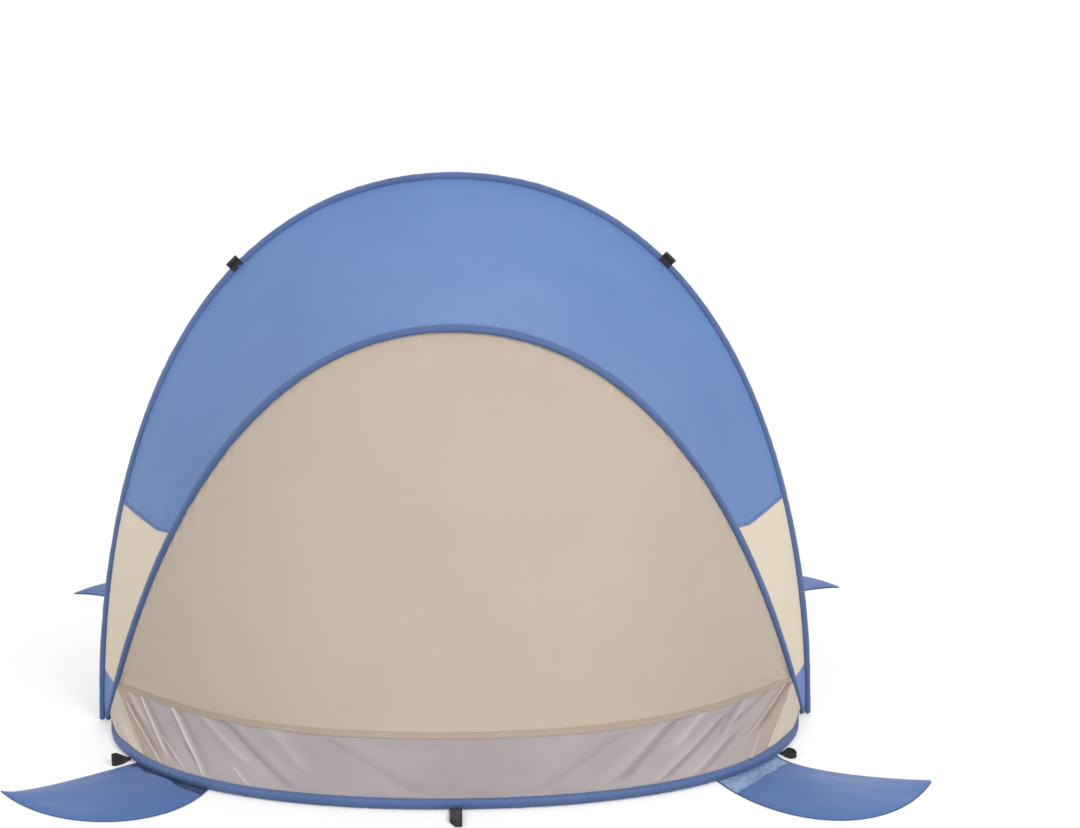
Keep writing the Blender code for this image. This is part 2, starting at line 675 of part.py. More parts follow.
def add_vent_ends(tent):
    """The two triangles between the ends of the mesh strip, the hem and the legs of the rear arch."""
    hem, rear = tent.rear_hem, tent.rear
    hem_shares = trimmed(between(tent.rear_hem_shares, VENT_FOOT_SHARE, VENT_END_SHARE), hem, BENT_SEAM_GAP)
    low, high = tent.rear_shares[1], REAR_GUSSET_SHARE
    steps = len(hem_shares) - 1
    leg_shares = trimmed([low + (high - low) * step / steps for step in range(steps + 1)], rear, BENT_SEAM_GAP)
    for side, lows, highs in (("left", hem_shares, leg_shares), ("right", mirrored(hem_shares), mirrored(leg_shares))):
        starts = [hem.leave(low, rear.at(high)) for low, high in zip(lows, highs)]
        ends = [rear.leave(high, hem.at(low)) for low, high in zip(lows, highs)]
        panel(f"vent_end_{side}", starts, ends, VENT_END_STEPS, tent.finish["side_beige"], tent.base)


def add_roof(tent):
    front_shares = between(tent.front_shares, FRONT_SIDE_SHARE, 1 - FRONT_SIDE_SHARE)
    rear_shares = between(tent.rear_shares, REAR_SIDE_SHARE, 1 - REAR_SIDE_SHARE)
    arch_panel("roof_panel", tent.rear, rear_shares, tent.front, front_shares, ROOF_STEPS, ROOF_SAG,
               tent.finish["roof_blue"], tent.rear_axis)


def add_side_sheets(tent, name, rear_range, front_range, rows, finish):
    """A flat sheet between the legs of the two arches, at each side."""
    rear_shares, front_shares = between(tent.rear_shares, *rear_range), between(tent.front_shares, *front_range)
    arch_panel(f"{name}_left", tent.rear, rear_shares, tent.front, front_shares, rows, 0, finish, tent.rear_axis)
    arch_panel(f"{name}_right", tent.rear, mirrored(rear_shares), tent.front, mirrored(front_shares), rows, 0,
               finish, tent.rear_axis)


def add_side_panels(tent):
    rear_range, front_range = (REAR_GUSSET_SHARE, REAR_SIDE_SHARE), (FRONT_GUSSET_SHARE, FRONT_SIDE_SHARE)
    add_side_sheets(tent, "side_panel", rear_range, front_range, SIDE_STEPS, tent.finish["side_beige"])


def add_corner_gussets(tent):
    rear_range = (tent.rear_shares[1], REAR_GUSSET_SHARE)
    front_range = (tent.front_shares[1], FRONT_GUSSET_SHARE)
    add_side_sheets(tent, "corner_gusset", rear_range, front_range, GUSSET_STEPS, tent.finish["roof_blue"])


# Sand pockets, each of two sheets
def add_pocket_pair(tent, end, hem, shares, tip_y, parent):
    blue = tent.finish["roof_blue"]
    for side, sign, roots in (("left", -1, shares), ("right", 1, [1 - share for share in shares])):
        tip = Vector((sign * (WIDTH / 2 + POCKET_TIP_OUT), tip_y, 0))
        grid = pocket_grid([hem.seat(share, 1) for share in roots], tip)
        pocket_lining(f"pocket_lining_{end}_{side}", grid, blue, parent)
        pocket_cover(f"sand_pocket_{end}_{side}", grid, blue, parent)


def add_sand_pockets(tent):
    rear_shares = between(tent.rear_hem_shares, *REAR_POCKET_SHARES)
    front_shares = between(tent.front_hem_shares, *FRONT_POCKET_SHARES)
    rear_tip_y, front_tip_y = REAR_POCKET_SETBACK - REAR_HEM_REACH, FRONT_HEM_REACH - FRONT_POCKET_SETBACK
    add_pocket_pair(tent, "rear", tent.rear_hem, rear_shares, rear_tip_y, tent.base)
    add_pocket_pair(tent, "front", tent.front_hem, front_shares, front_tip_y, tent.entrance_axis)


# Webbing
def add_webbing(tent):
    black = tent.finish["webbing_black"]
    side_loops("rear", tent.rear_hem, tent.rear_hem_shares, REAR_LOOP_SHARE, black, tent.base)
    side_loops("front", tent.front_hem, tent.front_hem_shares, FRONT_LOOP_SHARE, black, tent.entrance_axis)
    middle_loop("rear", tent.rear_hem, black, tent.base)
    middle_loop("front", tent.front_hem, black, tent.entrance_axis)
    guy_tabs(tent.front, tent.front_shares, black, tent.front_axis)


def build():
    clear_scene()
    tent = Tent()
    add_arches(tent)
    add_hems(tent)
    add_corner_ties(tent)
    add_ground_sheet(tent)
    add_rear_wall(tent)
    add_mesh_strip(tent)
    add_vent_ends(tent)
    add_roof(tent)
    add_side_panels(tent)
    add_corner_gussets(tent)
    add_sand_pockets(tent)
    add_webbing(tent)


if __name__ == "__main__":
    build()
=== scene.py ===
"""Looks of the pop-up beach tent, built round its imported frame.

Metres, in the frame of the solids: the ground is z = 0, X runs from corner to corner, -Y is the rear wall and +Y the
entrance. Cloth is built as grids between the curves of the wires, with its sags and folds in the mesh.
"""
from math import atan2, cos, pi, radians, sin

import bpy
import numpy as np
from mathutils import Matrix


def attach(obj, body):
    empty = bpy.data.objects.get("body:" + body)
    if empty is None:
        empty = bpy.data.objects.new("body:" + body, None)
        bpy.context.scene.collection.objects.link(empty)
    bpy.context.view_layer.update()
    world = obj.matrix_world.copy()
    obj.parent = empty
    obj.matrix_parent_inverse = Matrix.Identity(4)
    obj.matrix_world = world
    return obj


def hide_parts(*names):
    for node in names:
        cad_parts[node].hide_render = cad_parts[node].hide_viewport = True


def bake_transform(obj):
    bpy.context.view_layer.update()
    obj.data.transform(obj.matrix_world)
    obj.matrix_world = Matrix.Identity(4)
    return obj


scene = bpy.context.scene

# Curves of the wires, as in the solids
CORNER_LINE_Z = 0.0055
HALF_WIDTH = 0.750
LANE = 0.0122
REAR_TURN, FRONT_TURN = radians(103), radians(75)
CURVE_SAMPLES = 1200
TANGENT_SHARE = 0.002
TAPER_START, TAPER_END = 0.030, 0.150
PINCH_PLACE = 0.026
ROUNDNESS = 2.3
SECTION = 26

# Where the cloths meet, in shares of the curves
REAR_GUSSET, FRONT_GUSSET = 0.035, 0.0365
REAR_SIDE, FRONT_SIDE = 0.1945, 0.152
VENT_END, VENT_HEIGHT = 0.135, 0.137
VENT_FOOT = 0.0165
SEAM_LEAN = radians(40)
SEAM_SHARES = (0.767, 0.513)
WALL_ENDS = (0.004, 0.996)
SEWN_AT = 0.55
REAR_LOOP, FRONT_LOOP = 0.109, 0.2065
GUY_TAB = 0.3365

# Sand pockets: roots on the hem, tip, and the handles of the leading and the trailing edge
LEFT_MOUTH, RIGHT_MOUTH = 0.08, 0.15
POCKET_CROWN = 0.013
POCKET_END = 0.992
POCKET_CUT = (1.6, 1.05)
FRONT_ROOTS = (0.215, 0.296)
FRONT_EDGES = (((0.15, 0.106), (-0.248, 0.066)), ((0.305, 0.30), (-0.24, 0.50)))
POCKETS = {
    "rear_left": ((0.1202, 0.2265), (-0.906, -0.326),
                  (((0.182, 0.074), (-0.080, 0.116)), ((0.259, 0.468), (-0.272, 0.604)))),
    "rear_right": ((0.1148, 0.2081), (0.950, -0.318),
                   (((0.125, 0.195), (-0.245, 0.027)), ((0.312, 0.452), (-0.222, 0.760)))),
    "front_left": (FRONT_ROOTS, (-0.923, 0.716), FRONT_EDGES),
    "front_right": (FRONT_ROOTS, (0.936, 0.713), FRONT_EDGES),
}

# Thicknesses, and how high a flat cloth lies
CLOTH = 0.0005
BAND = 0.0008
GROUND_SHEET = 0.0006
WEBBING = 0.0014
ON_GROUND = 0.0006


# Vectors, paths and noise on arrays of points

def unit(vectors):
    return vectors / np.maximum(np.linalg.norm(vectors, axis=-1, keepdims=True), 1e-12)


def ease(value):
    value = np.clip(value, 0, 1)
    return value * value * (3 - 2 * value)


def inside(up, low, high):
    """0 at both ends of each column of lengths, and 1 further in than low and high."""
    return ease(up / low) * ease((up[:, -1:] - up) / high)


def travel_of(points):
    """How far each point of a path is along it."""
    return np.concatenate([[0], np.cumsum(np.linalg.norm(np.diff(points, axis=0), axis=1))])


def read(values, travel, where):
    """Values at the points of a path, read at other distances along it."""
    return np.stack([np.interp(where, travel, column) for column in values.T], -1)


def outline_reach(x, y, roundness=ROUNDNESS):
    """How far a direction has to be stretched to reach the outline of a rounded section with half sizes of 1."""
    return (np.abs(x) ** roundness + np.abs(y) ** roundness) ** (-1 / roundness)


def rounded_section(count, roundness=ROUNDNESS):
    """The turns round a section, and its points."""
    turn = np.linspace(0, 2 * pi, count, endpoint=False)
    x, y = np.cos(turn), np.sin(turn)
    reach = outline_reach(x, y, roundness)
    return turn, x * reach, y * reach


def bezier(handles, step):
    step = np.asarray(step, float)[..., None]
    rest = 1 - step
    first, second, third, fourth = handles
    return first * rest ** 3 + second * 3 * rest ** 2 * step + third * 3 * rest * step ** 2 + fourth * step ** 3


GRAIN = np.random.default_rng(11).random((256, 256)) * 2 - 1


def noise(x, y=0.0, seed=0):
    """Smooth value noise from -1 to 1 with a feature size of about 1."""
    x, y = np.broadcast_arrays(np.asarray(x, float) + 31.7 * seed, np.asarray(y, float) + 12.9 * seed)
    column, row = np.floor(x).astype(int), np.floor(y).astype(int)
    across, up = ease(x - column), ease(y - row)
    corners = [GRAIN[(column + i) % 256, (row + j) % 256] for i in (0, 1) for j in (0, 1)]
    low = corners[0] * (1 - across) + corners[2] * across
    high = corners[1] * (1 - across) + corners[3] * across
    return low * (1 - up) + high * up


def rough(x, y=0.0, seed=0, octaves=3):
    return sum(noise(x * 2 ** k, y * 2 ** k, seed + 5 * k) / 2 ** k for k in range(octaves))


class Curve:
    """A symmetric curve in a plane that turns about X. Each half is a cubic from its end to the crown."""

    def __init__(self, foot, half_width, reach, turn, lean, handle_shares):
        self.radial = np.array((0, cos(turn), sin(turn)))
        self.normal = np.array((0, -sin(turn), cos(turn)))
        leg_share, crown_share = handle_shares
        end, crown = np.array((half_width, 0)), np.array((0, reach))
        leg = end + leg_share * reach * np.array((-sin(lean), cos(lean)))
        top = crown + np.array((crown_share * half_width, 0))
        flat = bezier((end, leg, top, crown), np.linspace(0, 1, CURVE_SAMPLES))
        flat = np.vstack([flat * (-1, 1), flat[-2::-1]])
        self.points = np.array(foot) + flat[:, :1] * (1, 0, 0) + flat[:, 1:] * self.radial
        self.travel = travel_of(self.points)
        self.length = self.travel[-1]

    def at(self, share):
        return read(self.points, self.travel, np.clip(share, 0, 1) * self.length)

    def along(self, share):
        share = np.asarray(share, float)
        return unit(self.at(share + TANGENT_SHARE) - self.at(share - TANGENT_SHARE))

    def outward(self, share):
        return unit(np.cross(self.normal, self.along(share)))


class Sleeve(Curve):
    """A wire half with the flat sleeve round it, wide by thick at the crown and narrower at the corners."""

    def __init__(self, lane, reach, turn, lean, handle_shares, cant, corner, crown, thicknesses=None):
        super().__init__((0, 0, CORNER_LINE_Z), HALF_WIDTH - lane * LANE, reach, turn, lean, handle_shares)
        self.cant = cant
        self.sizes = (corner, crown)
        self.thicknesses = thicknesses
        self.pinch = 0

    def axes(self, share):
        outward = self.outward(share)
        wide = cos(self.cant) * outward + sin(self.cant) * self.normal
        thin = sin(self.cant) * outward - cos(self.cant) * self.normal
        return wide, thin

    def halves(self, share):
        share = np.asarray(share, float)
        along = np.minimum(share, 1 - share) * self.length
        grown = ease((along - TAPER_START) / (TAPER_END - TAPER_START))
        half_wide, half_thin = [(small + (big - small) * grown) / 2 for small, big in zip(*self.sizes)]
        if self.thicknesses:
            half_thin = np.interp(share, *self.thicknesses) / 2
        tight = 1 - self.pinch * np.exp(-((along - PINCH_PLACE) / PINCH_PLACE) ** 2)
        return half_wide * tight, half_thin * tight

    def centre(self, share):
        """The middle of the sleeve. A hem is lifted by what it is thicker than at its corners, to lie on the ground."""
        point = self.at(share)
        if self.cant == 0:
            point[..., 2] = np.maximum(self.halves(share)[1], CORNER_LINE_Z)
        return point

    def leave(self, share, target, sunk=0.0006):
        """Where a sheet that heads for target leaves the sleeve."""
        wide, thin = self.axes(share)
        point = self.centre(share)
        far = np.linalg.norm(target - point, axis=-1)
        heading = unit(target - point)
        half_wide, half_thin = self.halves(share)
        reach = outline_reach((heading * wide).sum(-1) / half_wide, (heading * thin).sum(-1) / half_thin)
        return point + heading * np.minimum(reach - sunk, far * 0.45)[..., None]

    def foot(self, share, side):
        """Where a flat cloth is sewn to a hem: on the side towards the middle (-1) or away from it (1)."""
        return self.at(share) + side * self.outward(share) * (self.halves(share)[0] * SEWN_AT)[:, None]


# The front sleeve's thickness from corner to corner: it lies flat along the arch at the top and turns on the legs
FRONT_THICKNESSES = ((0, 0.02, 0.05, 0.12, 0.18, 0.27, 0.335, 0.5, 0.665, 0.73, 0.8, 0.85, 0.9, 0.95, 0.98, 1),
                     (0.0118, 0.0125, 0.015, 0.0125, 0.0122, 0.0155, 0.0185, 0.0192,
                      0.0185, 0.0155, 0.0128, 0.0138, 0.017, 0.0178, 0.013, 0.0118))
FRONT = Sleeve(0, 1.14, FRONT_TURN, radians(0.4), (0.685, 0.547), pi / 2 + radians(25),
               (0.0135, 0.0118), (0.0205, 0.0135), FRONT_THICKNESSES)
REAR = Sleeve(1, 0.935, REAR_TURN, radians(14.8), (0.411, 0.582), pi / 2 + radians(12),
              (0.013, 0.012), (0.0205, 0.0135))
# The rear hem stays flat where the folded rear arch crosses over it
HEM_THICKNESSES = ((0, 0.05, 0.1, 0.5, 0.9, 0.95, 1), (0.011, 0.0113, 0.02, 0.0215, 0.02, 0.0113, 0.011))
REAR_HEM = Sleeve(2, 0.416, pi, radians(5.3), (0.799, 0.428), 0, (0.012, 0.011), (0.0215, 0.0215), HEM_THICKNESSES)
FRONT_HEM = Sleeve(3, 0.84, 0, radians(1), (0.84, 0.66), 0, (0.0118, 0.011), (0.0215, 0.02))
# Folded flat, the rear arch lies against the rear hem beside each corner, so both are drawn in there
REAR.pinch = REAR_HEM.pinch = 0.22


# Meshes from grids

def grid_normals(grid):
    return unit(np.cross(np.gradient(grid, axis=0), np.gradient(grid, axis=1)))


def tube_faces(rings, around, looped):
    """Faces of a tube of rings, which either runs round to its first ring or is closed by a face at each end."""
    side = np.arange(around)
    after = (side + 1) % around
    faces = []
    for ring in range(rings if looped else rings - 1):
        here, there = ring * around, (ring + 1) % rings * around
        quads = (here + after, here + side, there + side, there + after)
        if not looped:
            quads = (here + side, here + after, there + after, there + side)
        faces += np.stack(quads, 1).tolist()
    if not looped:
        faces += [list(range(around))[::-1], list(range((rings - 1) * around, rings * around))]
    return faces


def link(made):
    scene.collection.objects.link(made)
    return made


def make(name, points, faces, finish, uv=None, sharp=50):
    mesh = bpy.data.meshes.new(name)
    mesh.from_pydata(points.reshape(-1, 3).tolist(), [], [list(map(int, face)) for face in faces])
    if uv is not None:
        layer = mesh.uv_layers.new(name="metres")
        corners = np.zeros(len(mesh.loops), np.int32)
        mesh.loops.foreach_get("vertex_index", corners)
        layer.data.foreach_set("uv", uv.reshape(-1, 2)[corners].astype(np.float32).ravel())
    mesh.validate()
    mesh.shade_smooth()
    mesh.set_sharp_from_angle(angle=radians(sharp))
    mesh.materials.append(finish)
    return link(bpy.data.objects.new(name, mesh))


def paired(first, second):
    """Two sets of coordinates as one, for texture coordinates."""
    return np.stack(np.broadcast_arrays(first, second), -1)


def lengths(grid):
    """How far each point of a grid is along its row, from the row's middle, and how far up its column."""
    across = np.linalg.norm(np.diff(grid, axis=0), axis=2)
    across = np.concatenate([np.zeros((1, grid.shape[1])), np.cumsum(across, axis=0)])
    across -= across[-1:] / 2
    up = np.linalg.norm(np.diff(grid, axis=1), axis=2)
    return across, np.concatenate([np.zeros((grid.shape[0], 1)), np.cumsum(up, axis=1)], axis=1)


def cloth(name, grid, finish, thickness=CLOTH):
    """A closed sheet of cloth round a grid of points."""
    count, rows = grid.shape[:2]
    size = count * rows
    normal = grid_normals(grid) * thickness / 2
    points = np.concatenate([(grid + normal).reshape(-1, 3), (grid - normal).reshape(-1, 3)])
    number = np.arange(size).reshape(count, rows)
    over = np.stack([number[:-1, :-1], number[1:, :-1], number[1:, 1:], number[:-1, 1:]], -1).reshape(-1, 4)
    rim = np.concatenate([number[0, :-1], number[:-1, -1], number[-1, :0:-1], number[:0:-1, 0]])
    after = np.roll(rim, -1)
    faces = np.concatenate([over, over[:, ::-1] + size, np.stack([rim, after, after + size, rim + size], 1)])
    return make(name, points, faces, finish, np.tile(paired(*lengths(grid)).reshape(-1, 2), (2, 1)))


def span(starts, ends, rows):
    step = np.linspace(0, 1, rows)[None, :, None]
    return starts[:, None] * (1 - step) + ends[:, None] * step


def push(grid, height):
    """The grid moved along its own normals."""
    return grid + grid_normals(grid) * height[..., None]


# The body each piece rides on, and the solids it hides

def slotted(piece, slot, *nodes, body=None):
    if nodes:
        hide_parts(*nodes)
    if body:
        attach(piece, body)
    return piece


def bend(piece):
    """Bakes the piece's place into its mesh and reads its points, which nothing turns."""
    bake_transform(piece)
    points = np.zeros(len(piece.data.vertices) * 3)
    piece.data.vertices.foreach_get("co", points)
    points = points.reshape(-1, 3)


def bend_roof(piece):
    bend(piece)


def bend_wall(piece):
    bend(piece)


def declare(piece, grid, *rests_on):
    """Turns the grid so that its longer side comes first and measures its lengths, which are not kept."""
    if grid.shape[0] < grid.shape[1]:
        grid = grid.transpose(1, 0, 2)
    across, up = lengths(grid)


# Materials

def put(tree, socket, value):
    """Gives an input a value, or joins it to the output of another node."""
    if isinstance(value, bpy.types.NodeSocket):
        tree.links.new(value, socket)
    elif isinstance(value, tuple) and socket.type == "RGBA":
        socket.default_value = (*value, 1)
    else:
        socket.default_value = value


def fill(tree, node, *values, **named):
    """Fills a node's inputs by number or by name, with an underscore for each space."""
    for number, value in enumerate(values):
        put(tree, node.inputs[number], value)
    for key, value in named.items():
        put(tree, node.inputs[key.replace("_", " ")], value)
    return node


def new(tree, kind, *values, **named):
    return fill(tree, tree.nodes.new("ShaderNode" + kind), *values, **named)


def calculate(tree, operation, *values):
    node = new(tree, "Math", *values)
    node.operation = operation
    return node.outputs[0]


def mix_color(tree, factor, first, second):
    node = new(tree, "Mix")
    node.data_type = "RGBA"
    for socket, value in ((0, factor), (6, first), (7, second)):
        put(tree, node.inputs[socket], value)
    return node.outputs[2]


def noise_of(tree, place, scale, detail=3.0, roughness=0.55):
    return new(tree, "TexNoise", Vector=place, Scale=scale, Detail=detail, Roughness=roughness).outputs["Fac"]


def ramp(tree, value, low, high, start=0.0, end=1.0):
    node = new(tree, "MapRange", Value=value, From_Min=low, From_Max=high, To_Min=start, To_Max=end)
    return node.outputs["Result"]


def weave_of(tree, across, up):
    """Two crossed sines from 0 to 1 along the cloth's own lengths, so many to the metre each way."""
    flat = new(tree, "UVMap")
    flat.uv_map = "metres"
    parts = new(tree, "SeparateXYZ", flat.outputs["UV"])
    waves = []
    for axis, per_metre in enumerate((across, up)):
        turned = calculate(tree, "MULTIPLY", parts.outputs[axis], 2 * pi * per_metre)
        waves.append(calculate(tree, "MULTIPLY_ADD", calculate(tree, "SINE", turned), 0.5))
    return calculate(tree, "MULTIPLY", *waves)


def bumps(tree, shader, *layers):
    """Bump laid over bump: each layer has a height, a strength and a depth."""
    below = None
    for height, strength, depth in layers:
        node = new(tree, "Bump", Height=height, Strength=strength, Distance=depth)
        if below:
            put(tree, node.inputs["Normal"], below)
        below = node.outputs["Normal"]
    put(tree, shader.inputs["Normal"], below)


def times(factor, color, more=0.0):
    return tuple(factor * part + more for part in color)


def begin(name):
    """A new material with its tree, its shader and its object coordinates."""
    made = bpy.data.materials.new(name)
    made.use_nodes = True
    tree = made.node_tree
    return made, tree, tree.nodes["Principled BSDF"], new(tree, "TexCoord").outputs["Object"]


def fabric(name, color, shade, roughness, sheen, crinkle, crinkle_scale, see_through=0.0, threads=1500, depth=0.00006):
    """Woven cloth: threads both ways, soft creases, and a colour that varies a little from place to place."""
    made, tree, shader, place = begin(name)
    cloud = noise_of(tree, place, 4.0, 4.0)
    weave = weave_of(tree, threads, threads)
    base = mix_color(tree, ramp(tree, cloud, 0.35, 0.65), color, shade)
    speck = mix_color(tree, ramp(tree, noise_of(tree, place, 260.0, 2.0), 0.3, 0.7, 0.0, 0.10), base, shade)
    dark = calculate(tree, "MULTIPLY", calculate(tree, "SUBTRACT", 1.0, weave), 0.10)
    fill(tree, shader, Base_Color=mix_color(tree, dark, speck, times(0.55, color)),
         Roughness=ramp(tree, cloud, 0.3, 0.7, roughness - 0.05, roughness + 0.06),
         Sheen_Weight=sheen, Sheen_Roughness=0.45, Specular_IOR_Level=0.35)
    bumps(tree, shader, (noise_of(tree, place, crinkle_scale, 4.0, 0.6), 1.0, crinkle), (weave, 0.6, depth))
    if see_through:
        fill(tree, shader, Subsurface_Weight=see_through, Subsurface_Radius=(1, 1, 1), Subsurface_Scale=0.004)
    return made


def mesh_cloth(name, color, shade):
    """Fine net: round holes in rows, over soft creases, with painted highlights and painted shade on its folds."""
    made, tree, shader, place = begin(name)
    hole = ramp(tree, weave_of(tree, 620, 620), 0.35, 0.75)
    base = mix_color(tree, ramp(tree, noise_of(tree, place, 9.0, 4.0), 0.35, 0.65), color, shade)
    shown = mix_color(tree, calculate(tree, "MULTIPLY", hole, 0.34), base, times(0.35, color))
    # fold_light is a painted highlight and fold_shade a painted shade along the folds; the ends get painted shade, warm
    # in tint
    for title, strength, tint in (("end_warm_shade", 0.85, (0.405, 0.305, 0.240)),
                                  ("fold_light", 0.70, (0.74, 0.67, 0.61)),
                                  ("fold_shade", 0.62, (0.150, 0.110, 0.100))):
        amount = new(tree, "Attribute")
        amount.attribute_name = title
        shown = mix_color(tree, calculate(tree, "MULTIPLY", amount.outputs["Fac"], strength), shown, tint)
    fill(tree, shader, Base_Color=shown, Roughness=0.62, Sheen_Weight=0.25, Specular_IOR_Level=0.3)
    bumps(tree, shader, (noise_of(tree, place, 55.0, 4.0, 0.6), 1.0, 0.0012),
          (calculate(tree, "SUBTRACT", 1.0, hole), 0.5, 0.00015))
    return made


def webbing(name, color):
    """Ribbed polypropylene tape."""
    made, tree, shader, place = begin(name)
    weave = weave_of(tree, 560, 900)
    base = mix_color(tree, calculate(tree, "MULTIPLY", weave, 0.5), color, times(2.6, color, 0.008))
    dust = ramp(tree, noise_of(tree, place, 120.0), 0.5, 0.8, 0.0, 0.12)
    fill(tree, shader, Base_Color=mix_color(tree, dust, base, (0.06, 0.058, 0.055)),
         Roughness=0.62, Sheen_Weight=0.15, Specular_IOR_Level=0.35)
    bumps(tree, shader, (weave, 0.9, 0.0003))
    return made


def thread(name, color):
    made, tree, shader, place = begin(name)
    fuzz = noise_of(tree, place, 900.0, 2.0)
    fill(tree, shader, Base_Color=mix_color(tree, fuzz, color, times(0.6, color)), Roughness=0.7, Sheen_Weight=0.3)
    return made


def steel(name):
    made, tree, shader, place = begin(name)
    scratch = noise_of(tree, place, 400.0)
    fill(tree, shader, Base_Color=mix_color(tree, scratch, (0.50, 0.51, 0.53), (0.40, 0.41, 0.42)),
         Roughness=ramp(tree, scratch, 0.3, 0.7, 0.25, 0.42), Metallic=1.0)
    return made


def seen_rays(tree):
    """1 for what the camera sees, also in a mirror or through glass."""
    path = new(tree, "LightPath")
    first = calculate(tree, "MAXIMUM", path.outputs["Is Camera Ray"], path.outputs["Is Glossy Ray"])
    return calculate(tree, "MAXIMUM", first, path.outputs["Is Transmission Ray"])


def floor_material():
    """A matt white floor that goes over to plain white away from the tent, where it has no shadow to keep."""
    made, tree, shader, place = begin("studio_floor")
    seen = seen_rays(tree)
    fill(tree, shader, Base_Color=mix_color(tree, seen, (0.54, 0.54, 0.54), (0.98, 0.98, 0.98)),
         Roughness=1.0, Specular_IOR_Level=0.0)
    scaled = new(tree, "VectorMath", place, (0.92, 1.25, 0))
    scaled.operation = "MULTIPLY"
    distance = new(tree, "VectorMath", scaled.outputs["Vector"])
    distance.operation = "LENGTH"
    far = new(tree, "MapRange", Value=distance.outputs["Value"], From_Min=0.45, From_Max=1.15)
    far.interpolation_type = "SMOOTHSTEP"
    white = new(tree, "Emission", Color=(1, 1, 1), Strength=1.0)
    both = new(tree, "MixShader", calculate(tree, "MULTIPLY", seen, far.outputs["Result"]),
               shader.outputs["BSDF"], white.outputs["Emission"])
    put(tree, tree.nodes["Material Output"].inputs["Surface"], both.outputs["Shader"])
    return made


# Colour, its shade, roughness, sheen, depth and number of the creases
ROOF_BLUE = fabric("roof_cloth", (0.107, 0.216, 0.478), (0.099, 0.202, 0.456), 0.52, 0.18, 0.0007, 34, 0.12)
SLEEVE_BLUE = fabric("sleeve_cloth", (0.08, 0.142, 0.318), (0.066, 0.121, 0.282), 0.55, 0.18, 0.0016, 60)
POCKET_BLUE = fabric("pocket_cloth", (0.076, 0.157, 0.378), (0.068, 0.145, 0.356), 0.5, 0.1, 0.0012, 30)
# Painted light: a lighter, glossier copy of the pocket lining for the lit mouth of the right pockets
LIT_MOUTH_BLUE = fabric("lit_mouth_cloth", (0.3, 0.43, 0.66), (0.19, 0.29, 0.5), 0.24, 0.05, 0.0024, 70,
                     depth=0.00004)
WALL_BEIGE = fabric("wall_cloth", (0.535, 0.445, 0.358), (0.512, 0.424, 0.337), 0.62, 0.15, 0.0007, 30, 0.12)
SIDE_BEIGE = fabric("side_cloth", (0.775, 0.665, 0.52), (0.745, 0.635, 0.488), 0.62, 0.15, 0.0007, 36, 0.12)
BAND_BEIGE = fabric("band_cloth", (0.455, 0.375, 0.292), (0.43, 0.354, 0.274), 0.62, 0.15, 0.0009, 60)
GUSSET_BLUE = fabric("gusset_cloth", (0.165, 0.256, 0.545), (0.151, 0.238, 0.515), 0.52, 0.18, 0.001, 60, 0.12)
GROUND = fabric("ground_cloth", (0.4, 0.395, 0.385), (0.35, 0.345, 0.34), 0.45, 0.05, 0.0015, 26,
                threads=700, depth=0.00015)
SEAM_BLUE = fabric("seam_cloth", (0.11, 0.18, 0.41), (0.098, 0.165, 0.385), 0.55, 0.18, 0.001, 60)
END_BEIGE = fabric("end_cloth", (0.608, 0.528, 0.436), (0.58, 0.5, 0.408), 0.62, 0.15, 0.0009, 50, 0.12)
# Painted shade: a dark blue for the shaded mouth of the left pockets and the shadow lines along the pockets' lead and
# trail edges
SHADED_BLUE = fabric("shaded_cloth", (0.036, 0.068, 0.17), (0.026, 0.052, 0.14), 0.42, 0.06, 0.0016, 70,
                     depth=0.00004)
NET = mesh_cloth("vent_net", (0.424, 0.374, 0.378), (0.39, 0.34, 0.347))
BLACK = webbing("black_webbing", (0.01, 0.01, 0.012))
BLUE_THREAD = thread("blue_thread", (0.1, 0.17, 0.4))
BEIGE_THREAD = thread("beige_thread", (0.5, 0.42, 0.33))
BLACK_THREAD = thread("black_thread", (0.03, 0.03, 0.032))
STEEL = steel("spring_wire_steel")

# Camera at the photograph's place
PHOTO_WIDTH = 1080
FOCAL_LENGTH = 2287.149
OPTICAL_CENTRE = (452.535, 431.336)
SENSOR_WIDTH = 36


def camera():
    data = bpy.data.cameras.new("photo_camera")
    data.sensor_width = SENSOR_WIDTH
    data.lens = FOCAL_LENGTH / PHOTO_WIDTH * SENSOR_WIDTH
    data.shift_x = (540 - OPTICAL_CENTRE[0]) / PHOTO_WIDTH
    data.shift_y = (OPTICAL_CENTRE[1] - 414) / PHOTO_WIDTH
    data.clip_end = 100
    made = link(bpy.data.objects.new("photo_camera", data))
    turn = Matrix.Rotation(pi / 2 - radians(18.01), 4, "X") @ Matrix.Rotation(radians(-0.509), 4, "Z")
    made.matrix_world = Matrix.Translation((0, -4.439, 2.083)) @ turn
    scene.camera = made


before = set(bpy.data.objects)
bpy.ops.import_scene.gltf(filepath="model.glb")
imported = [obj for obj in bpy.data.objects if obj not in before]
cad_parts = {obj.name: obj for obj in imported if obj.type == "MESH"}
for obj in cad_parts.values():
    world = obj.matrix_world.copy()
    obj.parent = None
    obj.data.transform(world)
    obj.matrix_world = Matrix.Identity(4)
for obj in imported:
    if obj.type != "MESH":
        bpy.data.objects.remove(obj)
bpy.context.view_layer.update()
camera()

# Stitching

STITCH_PITCH = 0.0032
STITCH_LENGTH = 0.0023
STITCH_WIDTH = 0.00042


